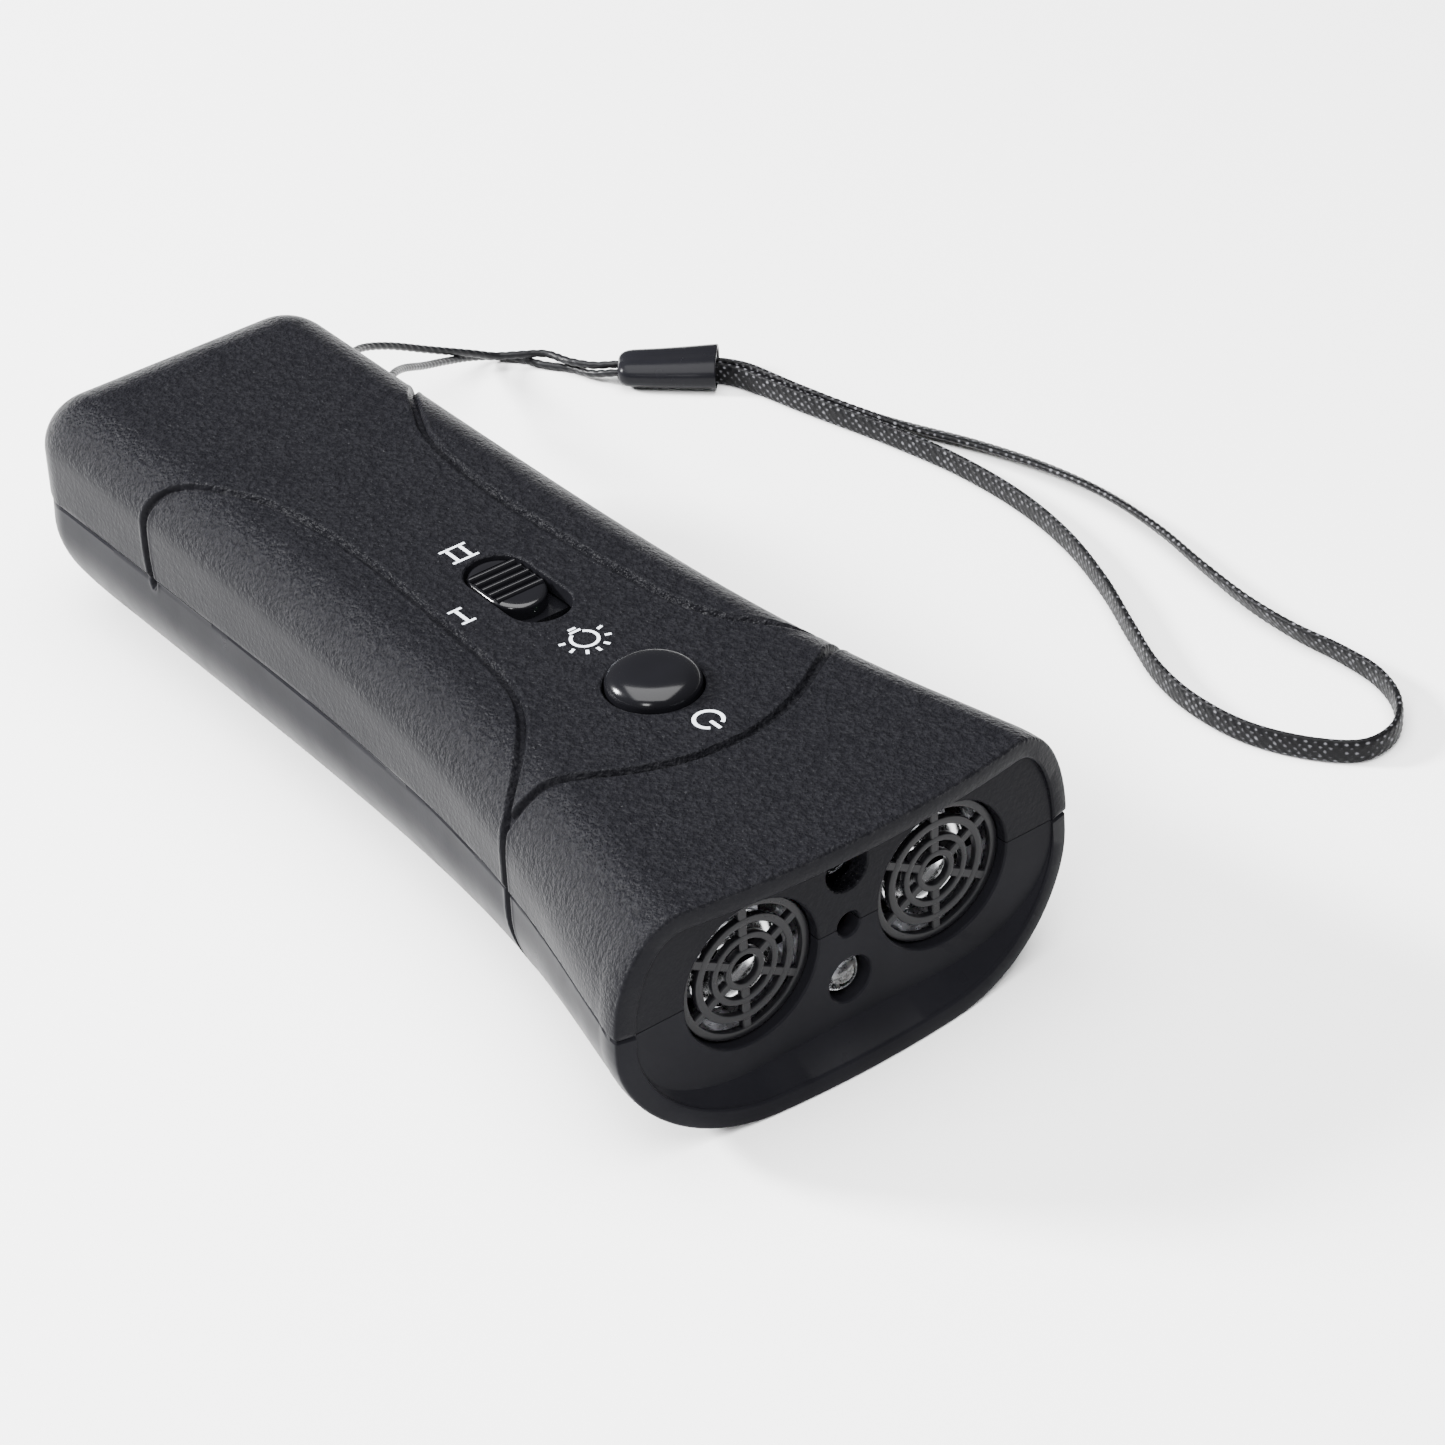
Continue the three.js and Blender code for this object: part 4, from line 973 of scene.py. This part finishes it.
# the spline carries the lean as a small third coordinate
LEAN_SCALE = 0.05
leaned, _ = spline([(x, y, lean * LEAN_SCALE) for x, y, lean in STRAP_ROUTE], samples=STRAP_SAMPLES)
leans = [math.radians(p.z / LEAN_SCALE) for p in leaned]
strap_line = []
for p, a in zip(leaned, leans):
    strap_line.append(at(p.x, p.y, (BAND_WIDTH * math.cos(a) + BAND_THICK * math.sin(a)) / 2 + 0.06))
outline, around = [], [0.0]
for k in range(BAND_SIDES):
    a = 2 * math.pi * k / BAND_SIDES
    c, s = math.cos(a), math.sin(a)
    outline.append((1.42 * math.copysign(abs(c) ** 0.62, c), 0.42 * math.copysign(abs(s) ** 0.75, s)))
for p, q in zip(outline, outline[1:] + outline[:1]):
    around.append(around[-1] + math.dist(p, q))
YARNS = round(around[-1] / PITCH)


def braided(i, along):
    """Yarns crossing over and under each other on a flat band."""
    t, lean = along_of(strap_line, i), leans[i]
    level = t.cross(Vector((0, 0, 1))).normalized()
    upright = level.cross(t)
    width = upright * math.cos(lean) + level * math.sin(lean)
    thick = t.cross(width)
    offsets, highlight_levels = [], []
    row_pitch = around[-1] / YARNS / 2
    for (w, h), v in zip(outline, around):
        u = along / MM
        weave = (math.cos(v / row_pitch * math.pi) - math.cos(u / PITCH * 2 * math.pi)) / 2
        bump = abs(weave) ** 0.7
        offsets.append((width * w * (1 + 0.02 * bump) + thick * h * (1 + 0.24 * bump)) * MM)
        # a painted highlight on the crown of each yarn, in staggered rows
        row = round(v / row_pitch)
        across = v - row * row_pitch
        ahead = (u + (0.5 if row % 2 else 0) * PITCH) % PITCH - PITCH / 2
        highlight_levels.append(math.exp(-((across / 0.17) ** 2) - (ahead / 0.27) ** 2))
    return offsets, highlight_levels


# near-black yarn; the pale spots on the yarn crowns are painted highlights
strap_paint = Paint("braided_polyester", (0.02, 0.02, 0.022), 0.45, specular=0.08)
painted_highlight = strap_paint.node("ShaderNodeAttribute", attribute_name="painted_highlight")
uneven = strap_paint.span(strap_paint.noise(0.9), 0.35, 0.62, 0.25, 1.1)
painted_highlights = strap_paint.calculate("MULTIPLY", painted_highlight.outputs["Fac"], uneven)
strap_paint.tint(painted_highlights, (0.0025, 0.0025, 0.003), (0.11, 0.11, 0.12), 0.3, 0.95)
strap_paint.bump(strap_paint.noise(0.12), 0.03)
strap = swept("braided_strap", strap_line, braided, BAND_SIDES)
dress(strap, strap_paint, "casing", "wrist_strap", 60)

CRIMP_FROM, CRIMP_TO = Vector((61.24, 120.35, 0)), Vector((70.43, 112.22, 0))
crimp_axis = (CRIMP_TO - CRIMP_FROM).normalized()
crimp_across = Vector((0, 0, 1)).cross(crimp_axis)
crimp_length = (CRIMP_TO - CRIMP_FROM).length


def crimp_ring(along, scale):
    """A rounded oblong section with a soft waist between its two channels."""
    ring = []
    for k in range(72):
        a = 2 * math.pi * k / 72
        c, s = math.cos(a), math.sin(a)
        u = 3.3 * scale * math.copysign(abs(c) ** 0.8, c)
        v = 1.9 * scale * math.copysign(abs(s) ** 0.86, s) * (1 - 0.1 * math.exp(-((u / 0.9) ** 2)))
        p = CRIMP_FROM + crimp_axis * along + crimp_across * u
        ring.append(at(p.x, p.y, max(1.95, 1.9 * scale + 0.05) + v))
    return ring


# (distance along the sleeve, scale of its section), narrow at the cord and wide at the strap
CRIMP_PROFILE = (
    (0, 0.35), (0.03, 0.5), (0.12, 0.62), (0.35, 0.74), (0.7, 0.83), (1.15, 0.89), (1.8, 0.925),
    (2.8, 0.945), (5, 0.985), (8, 1.04), (crimp_length - 0.2, 1.12), (crimp_length - 0.06, 1.11),
    (crimp_length, 1.08), (crimp_length - 0.02, 1.03), (crimp_length - 0.15, 1.0), (crimp_length - 3, 0.93),
)
crimp = facing_out(loft("moulded_crimp", [crimp_ring(*r) for r in CRIMP_PROFILE]))
dress(crimp, crimp_paint, "casing", "lanyard_crimp", 50)


# ---------------------------------------------------------------- floor and light
floor_paint = Paint("floor", (0.9, 0.9, 0.9), 0.85)
floor_paint.tint(floor_paint.noise(400, 2), (0.89, 0.89, 0.89), (0.91, 0.91, 0.91))
floor = mesh_object("floor", [(-4, -4, 0), (4, -4, 0), (4, 4, 0), (-4, 4, 0)], [(0, 1, 2, 3)], smooth=False)
floor.data.materials.append(floor_paint.material)

world = bpy.data.worlds.new("studio")
bpy.context.scene.world = world
world.use_nodes = True
sky = world.node_tree.nodes["Background"]
sky.inputs["Color"].default_value = (1, 1, 1, 1)
sky.inputs["Strength"].default_value = 0.2


def softbox(name, place, aim, width, power):
    """A square area light, with its place, aim and width in metres and its power in watts."""
    data = bpy.data.lights.new(name, "AREA")
    data.shape = "SQUARE"
    data.size = width
    data.energy = power
    lamp = link_object(name, data)
    lamp.location = place
    lamp.rotation_euler = (Vector(aim) - Vector(place)).to_track_quat("-Z", "Y").to_euler()


softbox("overhead_softbox", (-0.1, -0.1, 1.0), (0, 0, 0), 1.3, 56)
softbox("left_rear_softbox", (-0.5, 0.56, 0.42), (0, 0, 0.02), 0.16, 34)
softbox("front_left_softbox", (-0.55, -0.42, 0.3), (0, 0, 0.02), 0.16, 3)
